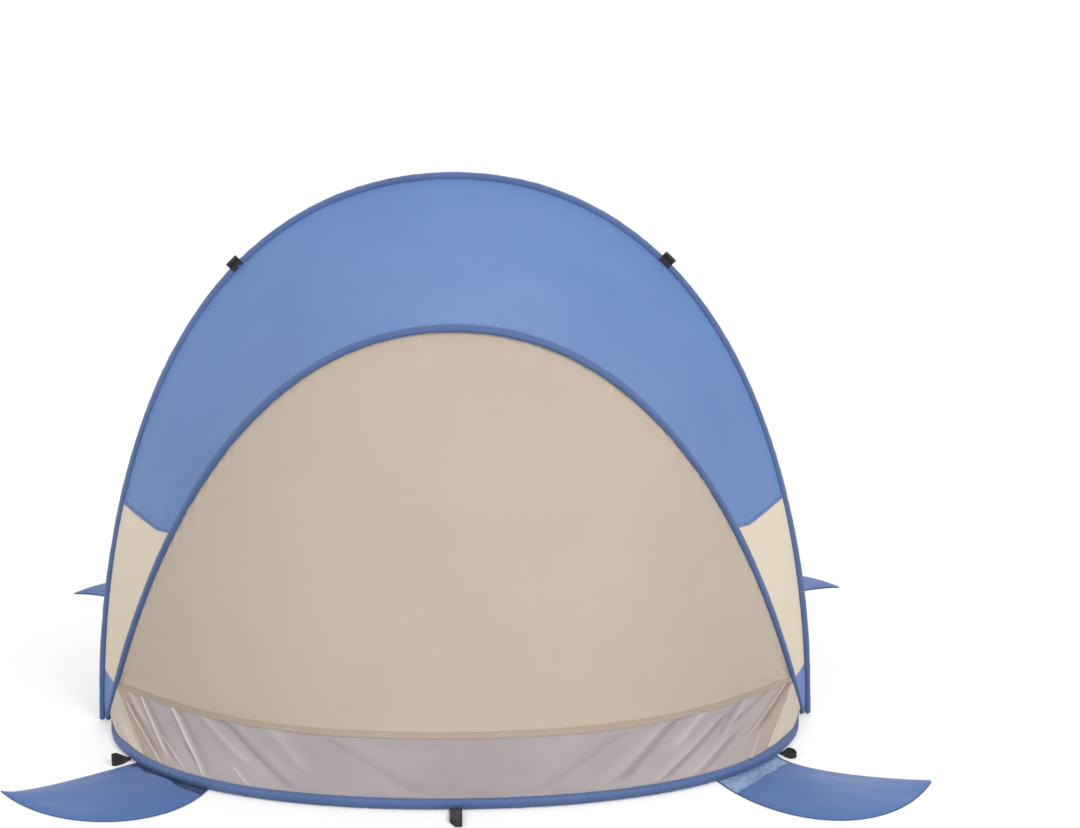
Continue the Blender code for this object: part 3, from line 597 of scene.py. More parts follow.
def stitches(name, points, outward, finish):
    """A row of short raised stitches along a path that lies on the cloth."""
    travel = travel_of(points)
    middle = (np.arange(int(travel[-1] / STITCH_PITCH)) + 0.5) * STITCH_PITCH
    centre, up = read(points, travel, middle), unit(read(outward, travel, middle))
    ahead = unit(read(points, travel, middle + STITCH_LENGTH / 2) - read(points, travel, middle - STITCH_LENGTH / 2))
    side = unit(np.cross(up, ahead))
    rings = []
    for step, size in ((-0.5, 0.25), (-0.28, 1.0), (0.28, 1.0), (0.5, 0.25)):
        for turn in range(4):
            spread = side * cos(turn * pi / 2) + up * sin(turn * pi / 2)
            rings.append(centre + ahead * step * STITCH_LENGTH
                         + (spread * size / 2 + up * (size - 0.25) / 4) * STITCH_WIDTH)
    faces = np.array(tube_faces(4, 4, False))[None] + 16 * np.arange(len(middle))[:, None, None]
    return make(name, np.stack(rings, 1), faces.reshape(-1, 4), finish)


# Sleeves round the wires

SLEEVE_STEP = 0.0045
HEM_START = 0.0292


def sleeve_grid(sleeve, start, end, seed):
    """Rings along a sleeve, with puckers across it and a slight roll."""
    share = np.linspace(start, end, max(int((end - start) * sleeve.length / SLEEVE_STEP), 8))
    along = share * sleeve.length
    wide, thin = sleeve.axes(share)
    half_wide, half_thin = sleeve.halves(share)
    roll = 0.09 * noise(along / 0.16, 0, seed)[:, None]
    wide, thin = wide * np.cos(roll) + thin * np.sin(roll), thin * np.cos(roll) - wide * np.sin(roll)
    loose = ease(np.minimum(along - start * sleeve.length, end * sleeve.length - along) / 0.05)[:, None]
    turn, x, y = rounded_section(SECTION)
    phase = along / 0.021 + 1.3 * noise(along / 0.05, 0, seed + 1)
    ridge = 1 - np.abs(np.sin(phase * pi / 2)) ** 0.8
    strength = 0.5 + 0.5 * noise(along / 0.07, 0, seed + 2)
    hollow = (ridge * strength)[:, None] * loose * (0.35 + 0.65 * np.abs(x)[None] ** 2) * 0.0008
    creased = 0.0004 * rough(along[:, None] / 0.012, turn[None] * 1.6, seed + 3) * loose
    size = 1 - 0.04 * loose * (1 + noise(along / 0.09, 0, seed + 4))[:, None]
    ring_x, ring_y = x[None] * half_wide[:, None] * size, y[None] * half_thin[:, None] * size
    grown = (1 + (creased - hollow) / np.maximum(np.hypot(ring_x, ring_y), 1e-6))[..., None]
    return (sleeve.centre(share)[:, None] + wide[:, None] * ring_x[..., None] * grown
            + thin[:, None] * ring_y[..., None] * grown)


def closed_end(ring, outward, depth):
    """Rings that round off a tube's end: each is smaller and further out."""
    centre = ring.mean(0)
    return [centre + (ring - centre) * cos(radians(turn)) + outward * depth * sin(radians(turn))
            for turn in (25, 50, 70, 84)]


def hollow_tube(name, rings, inner_share, along, round_it, finish, sharp):
    """A tube with an inside: its rings run on into the same rings drawn in, last to first."""
    centre = rings.mean(1, keepdims=True)
    walls = np.concatenate([rings, (centre + (rings - centre) * inner_share)[::-1]])
    uv = paired(np.concatenate([along, along[::-1]])[:, None], round_it[None])
    return make(name, walls, tube_faces(len(walls), rings.shape[1], True), finish, uv, sharp)


for name, sleeve, start, seed, body, cap in (
        ("front_arch", FRONT, 0.0004, 3, "front_arch", 0.0045),
        ("rear_arch", REAR, 0.0004, 17, "rear_arch", 0.0040),
        ("rear_hem", REAR_HEM, HEM_START / REAR_HEM.length, 29, "base", 0),
        ("front_hem", FRONT_HEM, 0.008 / FRONT_HEM.length, 41, "front_floor", 0.003)):
    grid = rings = sleeve_grid(sleeve, start, 1 - start, seed)
    if cap:
        first, last = sleeve.along(np.array([start, 1 - start])) * ((-1,), (1,))
        rings = np.array([*closed_end(grid[0], first, cap)[::-1], *grid, *closed_end(grid[-1], last, cap)])
    piece = hollow_tube(f"{name}_channel", rings, 1 - 0.0005 / 0.006, travel_of(rings.mean(1)),
                        np.linspace(0, 0.052, SECTION, endpoint=False), SLEEVE_BLUE, 70)
    slotted(piece, "sleeve_blue", f"{name}_sleeve", body=body)
    for number, turn in ((1, 28), (2, 152)):
        path = grid[:, round(turn / 360 * SECTION)]
        outward = unit(path - grid.mean(1))
        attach(stitches(f"{name}_channel_stitch_{number}", path + outward * 0.0001, outward, BLUE_THREAD), body)


# Roof, side and corner cloths between the arches

ARCHES = ("front_arch_channel", "rear_arch_channel")


def panel(name, grid, finish, slot, nodes, turning, rests_on, thickness=CLOTH):
    """A stretched cloth, with the solids it replaces hidden."""
    piece = slotted(cloth(name, grid, finish, thickness), slot, *nodes)
    turning(piece)
    declare(piece, grid, *rests_on)
    return piece


def seam_bow(step):
    """How far the seam between the roof and a side lies below the straight line, as a share of the rear arch."""
    return 0.0037 * (np.minimum(step / 0.22, (1 - step) / 0.78) - 0.06 * np.exp(-((step - 0.22) / 0.05) ** 2))


def arch_cloth(rear_range, front_range, columns, rows, sag=0.0, bows=(0, 0)):
    """A ruled cloth between the arches. A bow of 1 or -1 moves the low or the high edge with the bowed seam."""
    place, step = np.linspace(0, 1, columns)[:, None], np.linspace(0, 1, rows)[None]
    shift = seam_bow(step) * (bows[0] * (1 - place) + bows[1] * place)
    rear_share = rear_range[0] + (rear_range[1] - rear_range[0]) * place + shift
    front_share = front_range[0] + (front_range[1] - front_range[0]) * place + shift
    starts = REAR.leave(rear_share, FRONT.at(front_share))
    ends = FRONT.leave(front_share, REAR.at(rear_share))
    inward = -unit(REAR.outward(rear_share) + FRONT.outward(front_share))
    bow = ease(2 * (1 - np.abs(2 * place - 1))) * sag * np.sin(pi * step)
    return starts * (1 - step[..., None]) + ends * step[..., None] + inward * bow[..., None]


def seam_puckers(grid, seed, depth, reach, spacing):
    """Short folds that run away from the two long edges of a grid and fade."""
    across, up = lengths(grid)
    total = np.zeros(across.shape)
    for edge, number in ((up, seed), (up[:, -1:] - up, seed + 9)):
        fade = np.exp(-edge / reach) * ease(edge / 0.004)
        phase = across / spacing + 1.1 * noise(across / (2.6 * spacing), edge / 0.3, number)
        total += depth * fade * np.sin(2 * pi * phase) * (0.55 + 0.45 * noise(across / 0.11, 0, number + 3))
    return total


def mirrored(low, high, side):
    """A stretch of a curve counted from its left end, or from its right end."""
    return (low, high) if side == "left" else (1 - high, 1 - low)


roof = arch_cloth((REAR_SIDE, 1 - REAR_SIDE), (FRONT_SIDE, 1 - FRONT_SIDE), 420, 72, 0.012, (-1, 1))
across, up = lengths(roof)
roof = push(roof, seam_puckers(roof, 5, 0.0011, 0.035, 0.042)
            + 0.0016 * rough(across / 0.32, up / 0.16, 2, 2) * inside(up, 0.05, 0.05))
panel("roof_cloth", roof, ROOF_BLUE, "roof_blue", ["roof_panel"], bend_roof, ARCHES)

for side, edge, inner in (("left", 0, 2), ("right", -1, -3)):
    inward = unit(roof[inner] - roof[edge])
    grid = roof[edge][None] + inward[None] * np.linspace(-0.0004, 0.0066, 7)[:, None, None]
    above = grid_normals(grid)
    above *= np.sign((above * (grid - (0, 0, 0.3))).sum(-1).mean())
    grid = grid + above * 0.0009
    panel(f"roof_seam_{side}", grid, SEAM_BLUE, "roof_blue", [], bend_roof, ["roof_cloth"], BAND)
    bend_roof(stitches(f"roof_seam_stitch_{side}", grid[5] + above[5] * 0.0005, above[5], BLUE_THREAD))

for side, bows, seed in (("left", (0, -1), 0), ("right", (1, 0), 1)):
    grid = arch_cloth(mirrored(REAR_GUSSET, REAR_SIDE, side), mirrored(FRONT_GUSSET, FRONT_SIDE, side), 110, 72,
                      bows=bows)
    across, up = lengths(grid)
    grid = push(grid, seam_puckers(grid, 21 + seed, 0.0008, 0.025, 0.036)
                + 0.0010 * rough(across / 0.12, up / 0.08, 8 + seed, 2) * inside(up, 0.02, 0.02))
    panel(f"side_cloth_{side}", grid, SIDE_BEIGE, "side_beige", [f"side_panel_{side}"], bend_roof, ARCHES)
    grid = arch_cloth(mirrored(0.0012, REAR_GUSSET, side), mirrored(0.0010, FRONT_GUSSET, side), 40, 16)
    panel(f"corner_cloth_{side}", grid, GUSSET_BLUE, "roof_blue", [f"corner_gusset_{side}"], bend_roof, ARCHES)

# Rear wall

seam_end = REAR.at(np.array([REAR_GUSSET]))[0]
hem_crown, arch_crown = REAR_HEM.at(np.array([0.5]))[0], REAR.at(np.array([0.5]))[0]
seam_crown = hem_crown + (arch_crown - hem_crown) * (VENT_HEIGHT - hem_crown[2]) / (arch_crown[2] - hem_crown[2])
seam_foot = np.array((0, seam_end[1], seam_end[2]))
drop = seam_crown - seam_foot
SEAM = Curve(seam_foot, abs(seam_end[0]), np.linalg.norm(drop), atan2(drop[2], drop[1]), SEAM_LEAN, SEAM_SHARES)


def wall_ends(columns):
    """Places along the wall, and the wall's lower and upper end at each of them."""
    place = np.linspace(*WALL_ENDS, columns)
    lows = SEAM.at(place)
    return place, lows, REAR.leave(REAR_GUSSET + (1 - 2 * REAR_GUSSET) * place, lows)


place, lows, highs = wall_ends(380)
wall = span(lows, highs, 120)
wall[..., 1] += 0.006 * (1 - np.abs(2 * place - 1))[:, None] * np.sin(pi * np.linspace(0, 1, 120))[None]
across, up = lengths(wall)
fade = inside(up, 0.03, 0.05)
height = 0.0020 * rough(across / 0.30, up / 0.35, 12, 2) * fade
top_gap = up[:, -1:] - up
pucker = np.sin(2 * pi * (across / 0.045 + noise(across / 0.12, 0, 33)))
height += 0.0010 * pucker * np.exp(-top_gap / 0.03) * ease(top_gap / 0.004)
from_end = across[-1:] - across
from_corner, corner_turn = np.hypot(from_end, up), np.arctan2(up, from_end)
wrinkle = np.sin(26 * corner_turn + 2.2 * noise(from_corner / 0.05, corner_turn * 2, 37))
height += 0.0011 * wrinkle * np.exp(-((from_corner - 0.060) / 0.050) ** 2) * fade
wall = push(wall, height)
panel("rear_wall_cloth", wall, WALL_BEIGE, "wall_beige", ["rear_wall"], bend_wall, ["rear_arch_channel"])


# Mesh strip and its ends

FOLD_DEPTH = 0.85


def fan_folds(x, up, folds):
    """Folds that fan out from the upper end of the strip, and the painted light at each point of them: highlight above
    0, shade below.

    x is the distance from that end and up runs from 0 to 1.
    """
    total = np.zeros(np.broadcast(x, up).shape)
    painted_light = np.zeros(total.shape)
    for *sizes, low, high, light in folds:
        start, run, width, height = (size / 1000 for size in sizes)
        off = (x - start - run * (1 - up)) / width
        fade = ease((up - low) / 0.22) * ease((high - up) / 0.10)
        ridge = np.exp(-np.abs(off) ** 1.6)
        total += FOLD_DEPTH * height * fade * (ridge - 0.45 * np.exp(-((off - 2.0) / 1.3) ** 2))
        painted_light += light * fade * np.exp(-(off / 0.85) ** 2)
    return total, painted_light


# Each fold: distance from the end at the top, run down to the hem, width and height in millimetres, then the
# stretch where it shows, and its painted light, a highlight above 0 and shade below
LEFT_FOLDS = (
    (52.3, 25, 13, 3.4, 0.48, 1.06, 0.45), (11.1, 41, 4.2, 4.4, -0.1, 0.84, 0.95),
    (28, 30, 11, -2.4, 0.05, 0.95, -0.25), (94.2, -9, 5.2, 5.2, 0.08, 1.06, 1), (75.6, 50, 4.8, 3, -0.02, 0.5, 0.6),
    (108, -6, 11, -2.2, 0.05, 1, -0.25), (200, -33, 5.6, 5.6, -0.08, 1.06, 0.95), (168, 3, 9, -2.8, 0, 0.5, -0.4),
    (218, -33, 12, -2.2, 0, 1, -0.2), (260, 8, 6, 2.6, -0.15, 0.3, 0.45), (287.8, 34, 15, 3, 0.25, 1.02, 0.25),
    (344, 15, 13, -3.4, -0.05, 1.02, -0.35), (463, -47, 15, 2.2, 0.28, 1.06, 0.18),
    (560, 60, 20, -1.8, 0, 0.95, -0.12))
RIGHT_FOLDS = (
    (31.4, 98, 4.6, 6.2, 0.28, 1.06, 1), (64.4, -16, 5, 2.6, -0.2, 0.36, 0.35), (12, 98, 17, -3, 0.34, 1.06, -0.85),
    (98.4, 208, 12, -3, 0.52, 1.06, -0.4), (172, 13, 9, 2.6, 0.45, 1.06, 0.3),
    (188, 13, 10, -2.8, 0.42, 1.06, -0.35), (201.3, 66, 14, -3.4, -0.1, 0.88, -0.45),
    (96.9, 82, 12, -3.2, -0.15, 0.54, -0.42), (125, 82, 11, 2.8, -0.15, 0.52, 0.25),
    (224, 60, 12, 2.4, -0.1, 0.9, 0.2), (298.2, 14, 14, 2.8, 0.42, 1.06, 0.25), (365.2, 1, 15, -3.4, 0, 1.06, -0.4),
    (390, 4, 16, 2.2, 0.1, 1, 0.15), (470, 60, 20, -1.8, 0, 0.95, -0.12))

place = np.linspace(0.001, 0.999, 800)
tops = SEAM.at(place)
strip = span(REAR_HEM.leave(VENT_END + (1 - 2 * VENT_END) * place, tops), tops, 60)
across = lengths(strip)[0]
up = np.linspace(0, 1, 60)[None]
from_left, from_right = across - across[:1], across[-1:] - across
left_height, left_painted_light = fan_folds(from_left, up, LEFT_FOLDS)
right_height, right_painted_light = fan_folds(from_right, up, RIGHT_FOLDS)
hold = ease(up / 0.05) * ease((1 - up) / 0.04) * ease(from_left / 0.004) * ease(from_right / 0.004)
soft = 0.0016 * rough(across / 0.13, up * 1.1, 44, 3) * ease(up / 0.2) * ease((1 - up) / 0.2)
strip = push(strip, (left_height + right_height) * hold + soft)
piece = panel("vent_net", strip, NET, "vent_mesh", ["rear_vent"], bend_wall, ["rear_hem_channel"])
# Painted highlight and painted shade on the folds, and painted shade, warm in tint, near both ends of the net
painted_light = left_painted_light + right_painted_light
warm_shade = np.maximum(np.exp(-(from_left / 0.085) ** 2), 0.8 * np.exp(-(from_right / 0.095) ** 2))
for title, values in (("fold_light", np.clip(painted_light, 0, 1)), ("fold_shade", np.clip(-painted_light, 0, 1)), ("end_warm_shade", warm_shade)):
    layer = piece.data.attributes.new(title, "FLOAT", "POINT")
    layer.data.foreach_set("value", np.tile(values.astype(np.float32).ravel(), 2))

rise = np.linspace(0, 1, 40)[None]
for side, seed in (("left", 0), ("right", 1)):
    low_share = np.linspace(*mirrored(VENT_FOOT, VENT_END, side), 70)
    high_share = np.linspace(*mirrored(0.006, REAR_GUSSET, side), 70)
    starts = REAR_HEM.leave(low_share, REAR.at(high_share))
    grid = span(starts, REAR.leave(high_share, REAR_HEM.at(low_share)), 40)
    fan = np.linspace(*((0, 1) if side == "left" else (1, 0)), 70)[:, None]
    ripple = np.sin(2 * pi * (3.2 * fan + 0.35 * noise(rise * 1.5 + fan, fan * 2, 51 + seed)))
    fine = np.sin(2 * pi * (9.5 * fan + 0.5 * noise(rise * 2 + fan, fan * 3, 55 + seed)))
    fade = np.sin(pi * rise) ** 0.8 * ease(fan / 0.15) * ease((1 - fan) / 0.1)
    panel(f"vent_end_cloth_{side}", push(grid, (0.0026 * ripple + 0.0010 * fine) * fade), END_BEIGE, "side_beige",
          [f"vent_end_{side}"], bend_wall, ["rear_hem_channel", "rear_arch_channel"])

# Flat seam where the wall overlaps the mesh strip
place, lows, highs = wall_ends(420)
rising = unit(highs - lows)
tall = 0.0115 * (0.55 + 0.45 * ease(np.minimum(place, 1 - place) / 0.04))
band = span(lows - rising * 0.0015, lows + rising * tall[:, None], 9)
outward = -grid_normals(band)
if outward[200, 4, 1] > 0:
    outward = -outward
band = band + outward * (0.0011 + 0.0003 * noise(lengths(band)[0] / 0.03, 0, 61))[..., None]
panel("wall_seam_band", band, BAND_BEIGE, "wall_beige", [], bend_wall, ["rear_wall_cloth"], BAND)
for number, row in ((1, 1), (2, 7)):
    raised = band[:, row] + outward[:, row] * 0.0005
    bend_wall(stitches(f"wall_seam_stitch_{number}", raised, outward[:, row], BEIGE_THREAD))

# Ground sheet, one cloth with a row of points on the corner line

CREASE_REACH = 0.712
CREASE_PLACE = 0.004


def bend_ground(piece):
    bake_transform(piece)


place = np.linspace(*WALL_ENDS, 240)
rear_foot, front_foot = REAR_HEM.foot(place, -1), FRONT_HEM.foot(place, -1)
crease_x = np.clip((rear_foot[:, 0] + front_foot[:, 0]) / 2, -CREASE_REACH, CREASE_REACH)
crease = np.stack([crease_x, np.full(240, CREASE_PLACE), np.zeros(240)], -1)
beside = crease + (front_foot - crease) * 0.04
ground = np.concatenate([span(rear_foot, crease, 60)[:, :-1], span(crease, beside, 12)[:, :-1],
                         span(beside, front_foot, 110)], axis=1)
ground[..., 2] = ON_GROUND
up = lengths(ground)[1]
fade = ease(np.minimum(up, up[:, -1:] - up) / 0.05) * ease(np.abs(ground[..., 1] - CREASE_PLACE) / 0.06)
ground[..., 2] += 0.0042 * np.abs(rough(ground[..., 0] / 0.16, ground[..., 1] / 0.13, 71, 3)) * fade
panel("ground_cloth", ground, GROUND, "ground_sheet", ["floor_rear", "floor_front"], bend_ground,
      ["rear_hem_channel", "front_hem_channel"], GROUND_SHEET)


# Sand pockets

UP = np.array((0, 0, 1.0))
HEMS = {"rear": (REAR_HEM, "base", REAR_LOOP), "front": (FRONT_HEM, "front_floor", FRONT_LOOP)}


def pocket_edges(start, end, tip, handles):
    reach = tip - (start + end) / 2
    spread = np.array((-reach[1], reach[0], 0))
    if spread @ (end - start) < 0:
        spread = -spread
    edges = []
    for root, ((near_reach, near_spread), (far_reach, far_spread)) in zip((start, end), handles):
        root_handle = root + reach * near_reach + spread * near_spread
        edges.append((root, root_handle, tip + reach * far_reach + spread * far_spread, tip))
    return edges


def pocket_points(root, edges, rise):
    """Ground points of a pocket: a column per root point, and a row per share of the way to the tip."""
    lead, trail = edges
    step = np.linspace(0, 1, len(root))[:, None, None]
    edge = bezier(lead, rise) * (1 - step) + bezier(trail, rise) * step
    bulge = root - (root[0] * (1 - step[:, 0]) + root[-1] * step[:, 0])
    return edge + bulge[:, None] * (1 - rise)[..., None] ** 2


def crumple(x, y, seed):
    """Sharp small creases, from 0 to about 1."""
    return 1 - np.abs(rough(x / 0.021, y / 0.021, seed, 3)) ** 0.7


def binding(name, path, radius, body, finish=SHADED_BLUE):
    """A folded edge: a thin flattened roll of cloth along a path. Its default finish is painted shade, a dark line
    along the edge.
    """
    turn = np.linspace(0, 2 * pi, 8, endpoint=False)
    side = unit(np.cross(unit(np.gradient(path, axis=0)), UP))
    rings = (path[:, None] + side[:, None] * (np.cos(turn) * radius * 1.9)[None, :, None]
             + UP * (np.sin(turn) * radius)[None, :, None])
    uv = paired(np.linspace(0, 0.4, len(path))[:, None], (turn * radius)[None])
    slotted(make(name, rings, tube_faces(len(path), 8, False), finish, uv), "roof_blue", body=body)


def sand_pocket(end_side, outline, seed):
    """A lower cloth sewn to the hem and an upper cloth that stops short of it, so that its mouth is open."""
    (low, high), tip, handles = outline
    end, side = end_side.split("_")
    left = side == "left"
    hem, body = HEMS[end][:2]
    columns, rows = 100, 110
    mouth_share, wander = (LEFT_MOUTH, 0.020) if left else (RIGHT_MOUTH, 0.006)
    shares = np.linspace(low, high, columns)
    root = hem.foot(shares if left else 1 - shares, 1)
    root[:, 2] = 0
    tip = np.array((*tip, 0.0))
    edges = pocket_edges(root[0], root[-1], tip, handles)
    across = np.linspace(0, 1, columns)[:, None]
    inset = np.minimum(across, 1 - across)
    mouth = mouth_share * (1.1 - 0.35 * across)

    rise = np.broadcast_to(np.linspace(0, POCKET_END, rows)[None], (columns, rows))
    lower = pocket_points(root, edges, rise)
    x, y = lower[..., 0], lower[..., 1]
    fade = ease(inset / 0.06) * ease((1 - rise) / 0.12) * ease(rise / 0.05)
    in_mouth = ease((mouth + 0.05 - rise) / 0.05)
    lower[..., 2] = ON_GROUND + fade * (0.0012 * np.abs(rough(x / 0.035, y / 0.035, seed, 3))
                                        + 0.0050 * crumple(x, y, seed + 2) * in_mouth)

    mouth = mouth + wander * rough(across * 5, 0, seed + 5, 2) * ease(inset / 0.1)
    rise = mouth + (POCKET_END - mouth) * np.linspace(0, 1, rows)[None]
    upper = pocket_points(root, edges, rise)
    x, y = upper[..., 0], upper[..., 1]
    reach = np.clip((rise - mouth_share) / (1 - mouth_share), 0, 1)
    crown = POCKET_CROWN * np.sin(pi * across) ** 0.8 * np.cos(pi / 2 * reach ** 1.1)
    crown = crown * (0.80 + 0.20 * noise(x / 0.08, y / 0.08, seed + 4))
    soft = 0.0032 * rough(x / 0.09, y / 0.06, seed + 6, 2) * ease(inset / 0.2) * ease((1 - reach) / 0.25)
    lip = 0.0026 * noise(across * 9, 0, seed + 9) * np.exp(-reach / 0.05) * ease(inset / 0.1)
    upper[..., 2] = 0.0024 + 0.0012 * fade + np.maximum(0, crown + soft + lip)

    # A thin sheet over the lower cloth's mouth: painted shade on the left pockets, painted light on the right ones
    painted_mouth_rows = int(rows * (mouth_share * 1.1 + 0.05))
    painted_mouth = lower[:, :painted_mouth_rows] + (0, 0, 0.0007)
    long = float(np.linalg.norm(tip - (root[0] + root[-1]) / 2))
    wide = float(np.linalg.norm(root[-1] - root[0]))
    flat_size = (round(wide * POCKET_CUT[0], 3), round(long * POCKET_CUT[1], 3))
    painted_mouth_size = (flat_size[0], round(flat_size[1] * painted_mouth_rows / rows, 3))
    name = f"pocket_{end_side}"
    for part, grid, finish, nodes, size, below in (
            ("lower", lower, POCKET_BLUE, [f"pocket_lining_{end_side}"], flat_size, f"{end}_hem_channel"),
            ("upper", upper, POCKET_BLUE, [f"sand_pocket_{end_side}"], flat_size, f"{end}_hem_channel"),
            ("painted_mouth", painted_mouth, SHADED_BLUE if left else LIT_MOUTH_BLUE, [], painted_mouth_size, f"{name}_lower")):
        piece = slotted(cloth(f"{name}_{part}", grid, finish), "roof_blue", *nodes, body=body)
    # The lead and trail edges are real folded edges, drawn dark with painted shade for the thin shadow along them
    for edge, column in (("lead", 0), ("trail", -1)):
        path = lower[column].copy()
        path[:, 2] = 0.0016
        binding(f"{name}_{edge}_edge", path, 0.0008, body)
    binding(f"{name}_mouth_edge", upper[:, 0], 0.0006, body, SLEEVE_BLUE)


for number, (end_side, outline) in enumerate(POCKETS.items()):
    sand_pocket(end_side, outline, 80 + 7 * number)


# Webbing

def smooth(points, count):
    """A smooth curve through the points, evenly spaced."""
    points = np.array(points, float)
    padded = np.vstack([2 * points[0] - points[1], points, 2 * points[-1] - points[-2]])
    made = []
    for number in range(1, len(padded) - 2):
        before, start, end, after = padded[number - 1:number + 3]
        for step in np.linspace(0, 1, 14, endpoint=False):
            made.append(0.5 * (2 * start + (end - before) * step
                               + (2 * before - 5 * start + 4 * end - after) * step ** 2
                               + (3 * start - before - 3 * end + after) * step ** 3))
    made = np.array(made + [padded[-2]])
    travel = travel_of(made)
    return read(made, travel, np.linspace(0, travel[-1], count))


def in_place(points, place):
    return points @ place[:3, :3].T + place[:3, 3]


def placed(origin, x_axis, y_axis, z_axis):
    place = np.eye(4)
    place[:3] = np.stack([x_axis, y_axis, z_axis, origin], 1)
    return place


def tape(name, path, low, high, place, body, node):
    """Webbing on edge along a path in the x-y plane of place, from height low to high along its z axis."""
    ahead = unit(np.gradient(path, axis=0))
    side = np.stack([-ahead[:, 1], ahead[:, 0]], -1)
    soft = WEBBING * 0.32
    profile = ((-0.5, low + soft), (-0.28, low), (0.28, low), (0.5, low + soft),
               (0.5, high - soft), (0.28, high), (-0.28, high), (-0.5, high - soft))
    rings = np.stack([np.column_stack([path + side * WEBBING * out, np.broadcast_to(tall, len(path))])
                      for out, tall in profile], 1)
    uv = paired(travel_of(path)[:, None], rings[..., 2])
    piece = make(name, in_place(rings, place), tube_faces(len(path), 8, False), BLACK, uv, 40)
    slotted(piece, "webbing_black", node, body=body)


LOOP_OUTLINE = ((0, 0), (0.15, 0), (0.38, 0.72), (0.62, 1), (0.84, 0.86), (0.96, 0.45))
TACK_POINTS = 20


def loop_path(length, eye):
    closed, open_half = WEBBING / 2 + 0.0002, (eye + WEBBING) / 2
    half = [(length * far, closed + (open_half - closed) * wide) for far, wide in LOOP_OUTLINE]
    return smooth(half + [(length, 0)] + [(x, -y) for x, y in reversed(half)], 70)


for end, (hem, body, share) in HEMS.items():
    for side, place_share in (("left", share), ("right", 1 - share)):
        where = np.array([place_share])
        outward = hem.outward(where)[0]
        origin = hem.at(where)[0] + outward * (hem.halves(where)[0][0] - 0.001)
        origin[2] = 0.0003
        place = placed(origin, outward, np.cross(UP, outward), UP)
        length = 0.036 if (end, side) == ("rear", "right") else 0.042
        path = loop_path(length, 0.012)
        far = path[:, 0] / length
        low = np.full(len(path), 0.0003)
        if end == "front":
            high = 0.0215 - 0.0015 * far
        elif side == "left":
            high = 0.0080 + 0.0160 * ease(far / 0.85)
        else:
            high = 0.0060 + 0.0120 * ease(far / 0.45) - 0.0045 * ease((far - 0.72) / 0.28)
            low = 0.0003 + 0.0030 * ease((far - 0.70) / 0.30)
        tape(f"peg_tape_{end}_{side}", path, low, high, place, body, f"peg_loop_{end}_{side}")
        heights = np.linspace(0.002, 0.0185 if end == "front" else 0.0060, TACK_POINTS)
        outward = np.repeat(place[:3, 1][None], TACK_POINTS, 0)
        for number, shift in ((1, 0.004), (2, 0.0075)):
            line = np.column_stack([np.full(TACK_POINTS, shift), np.full(TACK_POINTS, 0.0017), heights])
            piece = stitches(f"peg_tack_{end}_{side}_{number}", in_place(line, place), outward, BLACK_THREAD)
            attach(piece, body)
    across = np.cross(hem.radial, UP)
    origin = hem.at(np.array([0.5]))[0] + hem.radial * 0.0092 - across * 0.0125
    origin[2] = 0.0055 / 2 + 0.0015
    path = loop_path(0.071, 0.0055)
    high = 0.0248 - 0.010 * ease((path[:, 0] - 0.045) / 0.026)
    tape(f"peg_tape_{end}_middle", path, 0.0002, high, placed(origin, hem.radial, UP, across), body,
         f"peg_loop_{end}_middle")


def tab_path():
    half_wide, half_thin, offset = 0.010, 0.0086, 0.0003 + WEBBING / 2
    half = [(half_wide * 0.93, half_thin * 0.10), (half_wide * 0.80, half_thin * 0.68 + offset * 0.6),
            (half_wide * 0.42, half_thin + offset)]
    for wide, high in ((0.42, 0.05), (0.60, 0.32), (0.98, 0.62), (0.70, 0.90)):
        half.append(((0.009 + WEBBING) / 2 * wide, half_thin + offset + 0.012 * high))
    return smooth(half + [(0, half_thin + offset + 0.012)] + [(-x, y) for x, y in reversed(half)], 80)


for side, share in (("left", GUY_TAB), ("right", 1 - GUY_TAB)):
    where = np.array([share])
    wide, thin = (axis[0] for axis in FRONT.axes(where))
    along = FRONT.along(where)[0]
    place = placed(FRONT.at(where)[0] + along * 0.014, wide, thin, -along)
    tape(f"guy_tape_{side}", tab_path(), 0.0, 0.028, place, "front_arch", f"guy_tab_{side}")

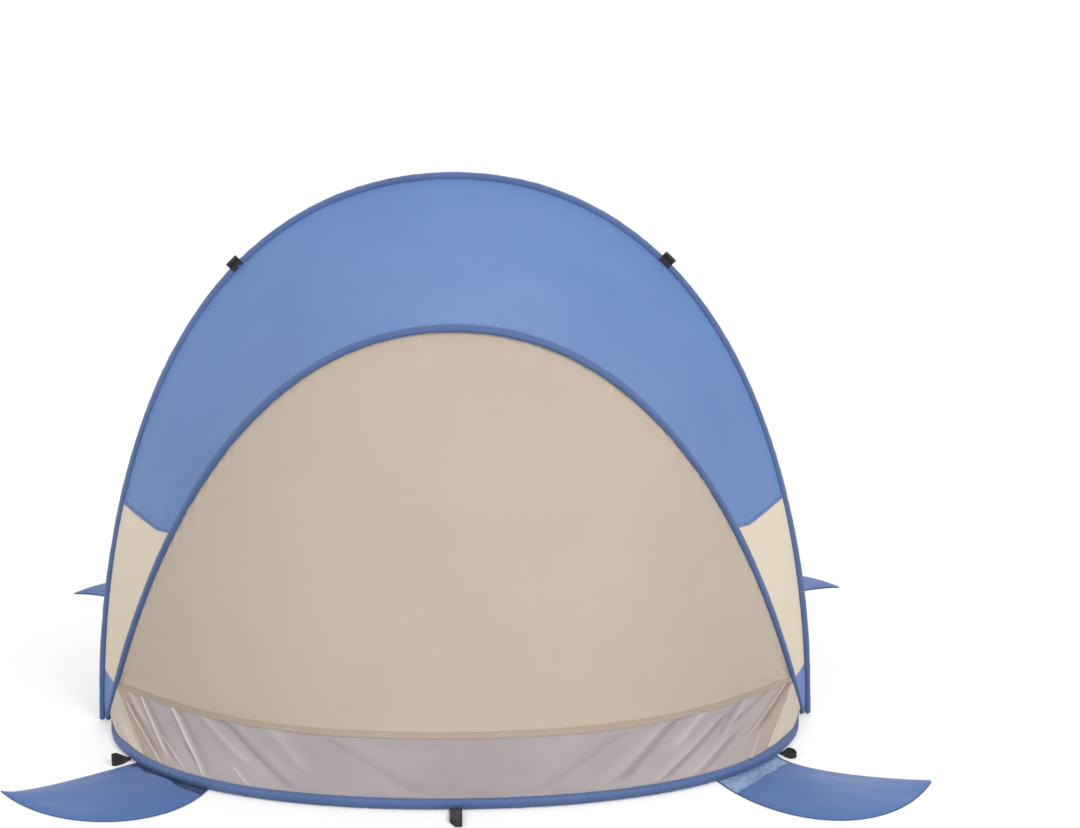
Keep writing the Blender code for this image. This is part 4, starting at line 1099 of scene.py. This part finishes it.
# Black tape round the rear hem at each corner, between two distances from its end
TIE_START, TIE_END = 0.003, 0.0295
TIE_RINGS = 26
TIE_GROWTH, TIE_WANDER = -0.0002, 0.0001
for side, seed in (("left", 91), ("right", 92)):
    low, high = mirrored(TIE_START / REAR_HEM.length, TIE_END / REAR_HEM.length, side)
    shares = np.linspace(low, high, TIE_RINGS)
    wide, thin = (axis[:, None] for axis in REAR_HEM.axes(shares))
    half_wide, half_thin = (half[:, None] for half in REAR_HEM.halves(shares))
    turn, x, y = rounded_section(28, 2.6)
    stand = TIE_GROWTH + TIE_WANDER * noise(np.arange(TIE_RINGS)[:, None] / 4, turn[None] * 2, seed)
    rings = (REAR_HEM.at(shares)[:, None] + wide * ((half_wide + stand) * x)[..., None]
             + thin * ((half_thin + stand - TIE_WANDER * 2) * y)[..., None])
    piece = hollow_tube(f"corner_tape_{side}", rings, 0.8, np.linspace(0, TIE_END - TIE_START, TIE_RINGS),
                        turn * 0.005, BLACK, 60)
    slotted(piece, "webbing_black", f"corner_tie_{side}", body="base")

for end in HEMS:
    for part in ("arch_wire", "hem_wire", "loop_ferrule"):
        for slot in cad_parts[f"{end}_{part}"].material_slots:
            slot.material = STEEL

# Studio
corners = np.array([(-30, -30, 0), (30, -30, 0), (30, 30, 0), (-30, 30, 0)], float)
make("studio_floor", corners, [(0, 1, 2, 3)], floor_material())
LIGHTS_AIM = (0, 0, 0.4)


def area_light(name, place, size, energy):
    data = bpy.data.lights.new(name, "AREA")
    data.shape = "RECTANGLE"
    data.size, data.size_y = size
    data.energy = energy
    back = unit(np.array(place) - LIGHTS_AIM)
    right = unit(np.cross(UP, back))
    lamp = link(bpy.data.objects.new(name, data))
    lamp.matrix_world = Matrix(placed(place, right, np.cross(back, right), back).tolist())


area_light("key", (2.9, -3.7, 4.1), (3, 3), 165)
area_light("fill", (-4, -3, 2.8), (3.5, 3), 66)
area_light("far_fill", (0.5, 5, 3.6), (4, 3), 70)

world = bpy.data.worlds.new("studio_world")
scene.world = world
world.use_nodes = True
tree = world.node_tree
tree.nodes.clear()
lit = new(tree, "Background", Color=(0.965, 0.96, 0.965), Strength=0.74)
seen = new(tree, "Background", Color=(1, 1, 1), Strength=1.0)
both = new(tree, "MixShader", seen_rays(tree), lit.outputs[0], seen.outputs[0])
new(tree, "OutputWorld", Surface=both.outputs[0])

scene.view_settings.view_transform = "Standard"
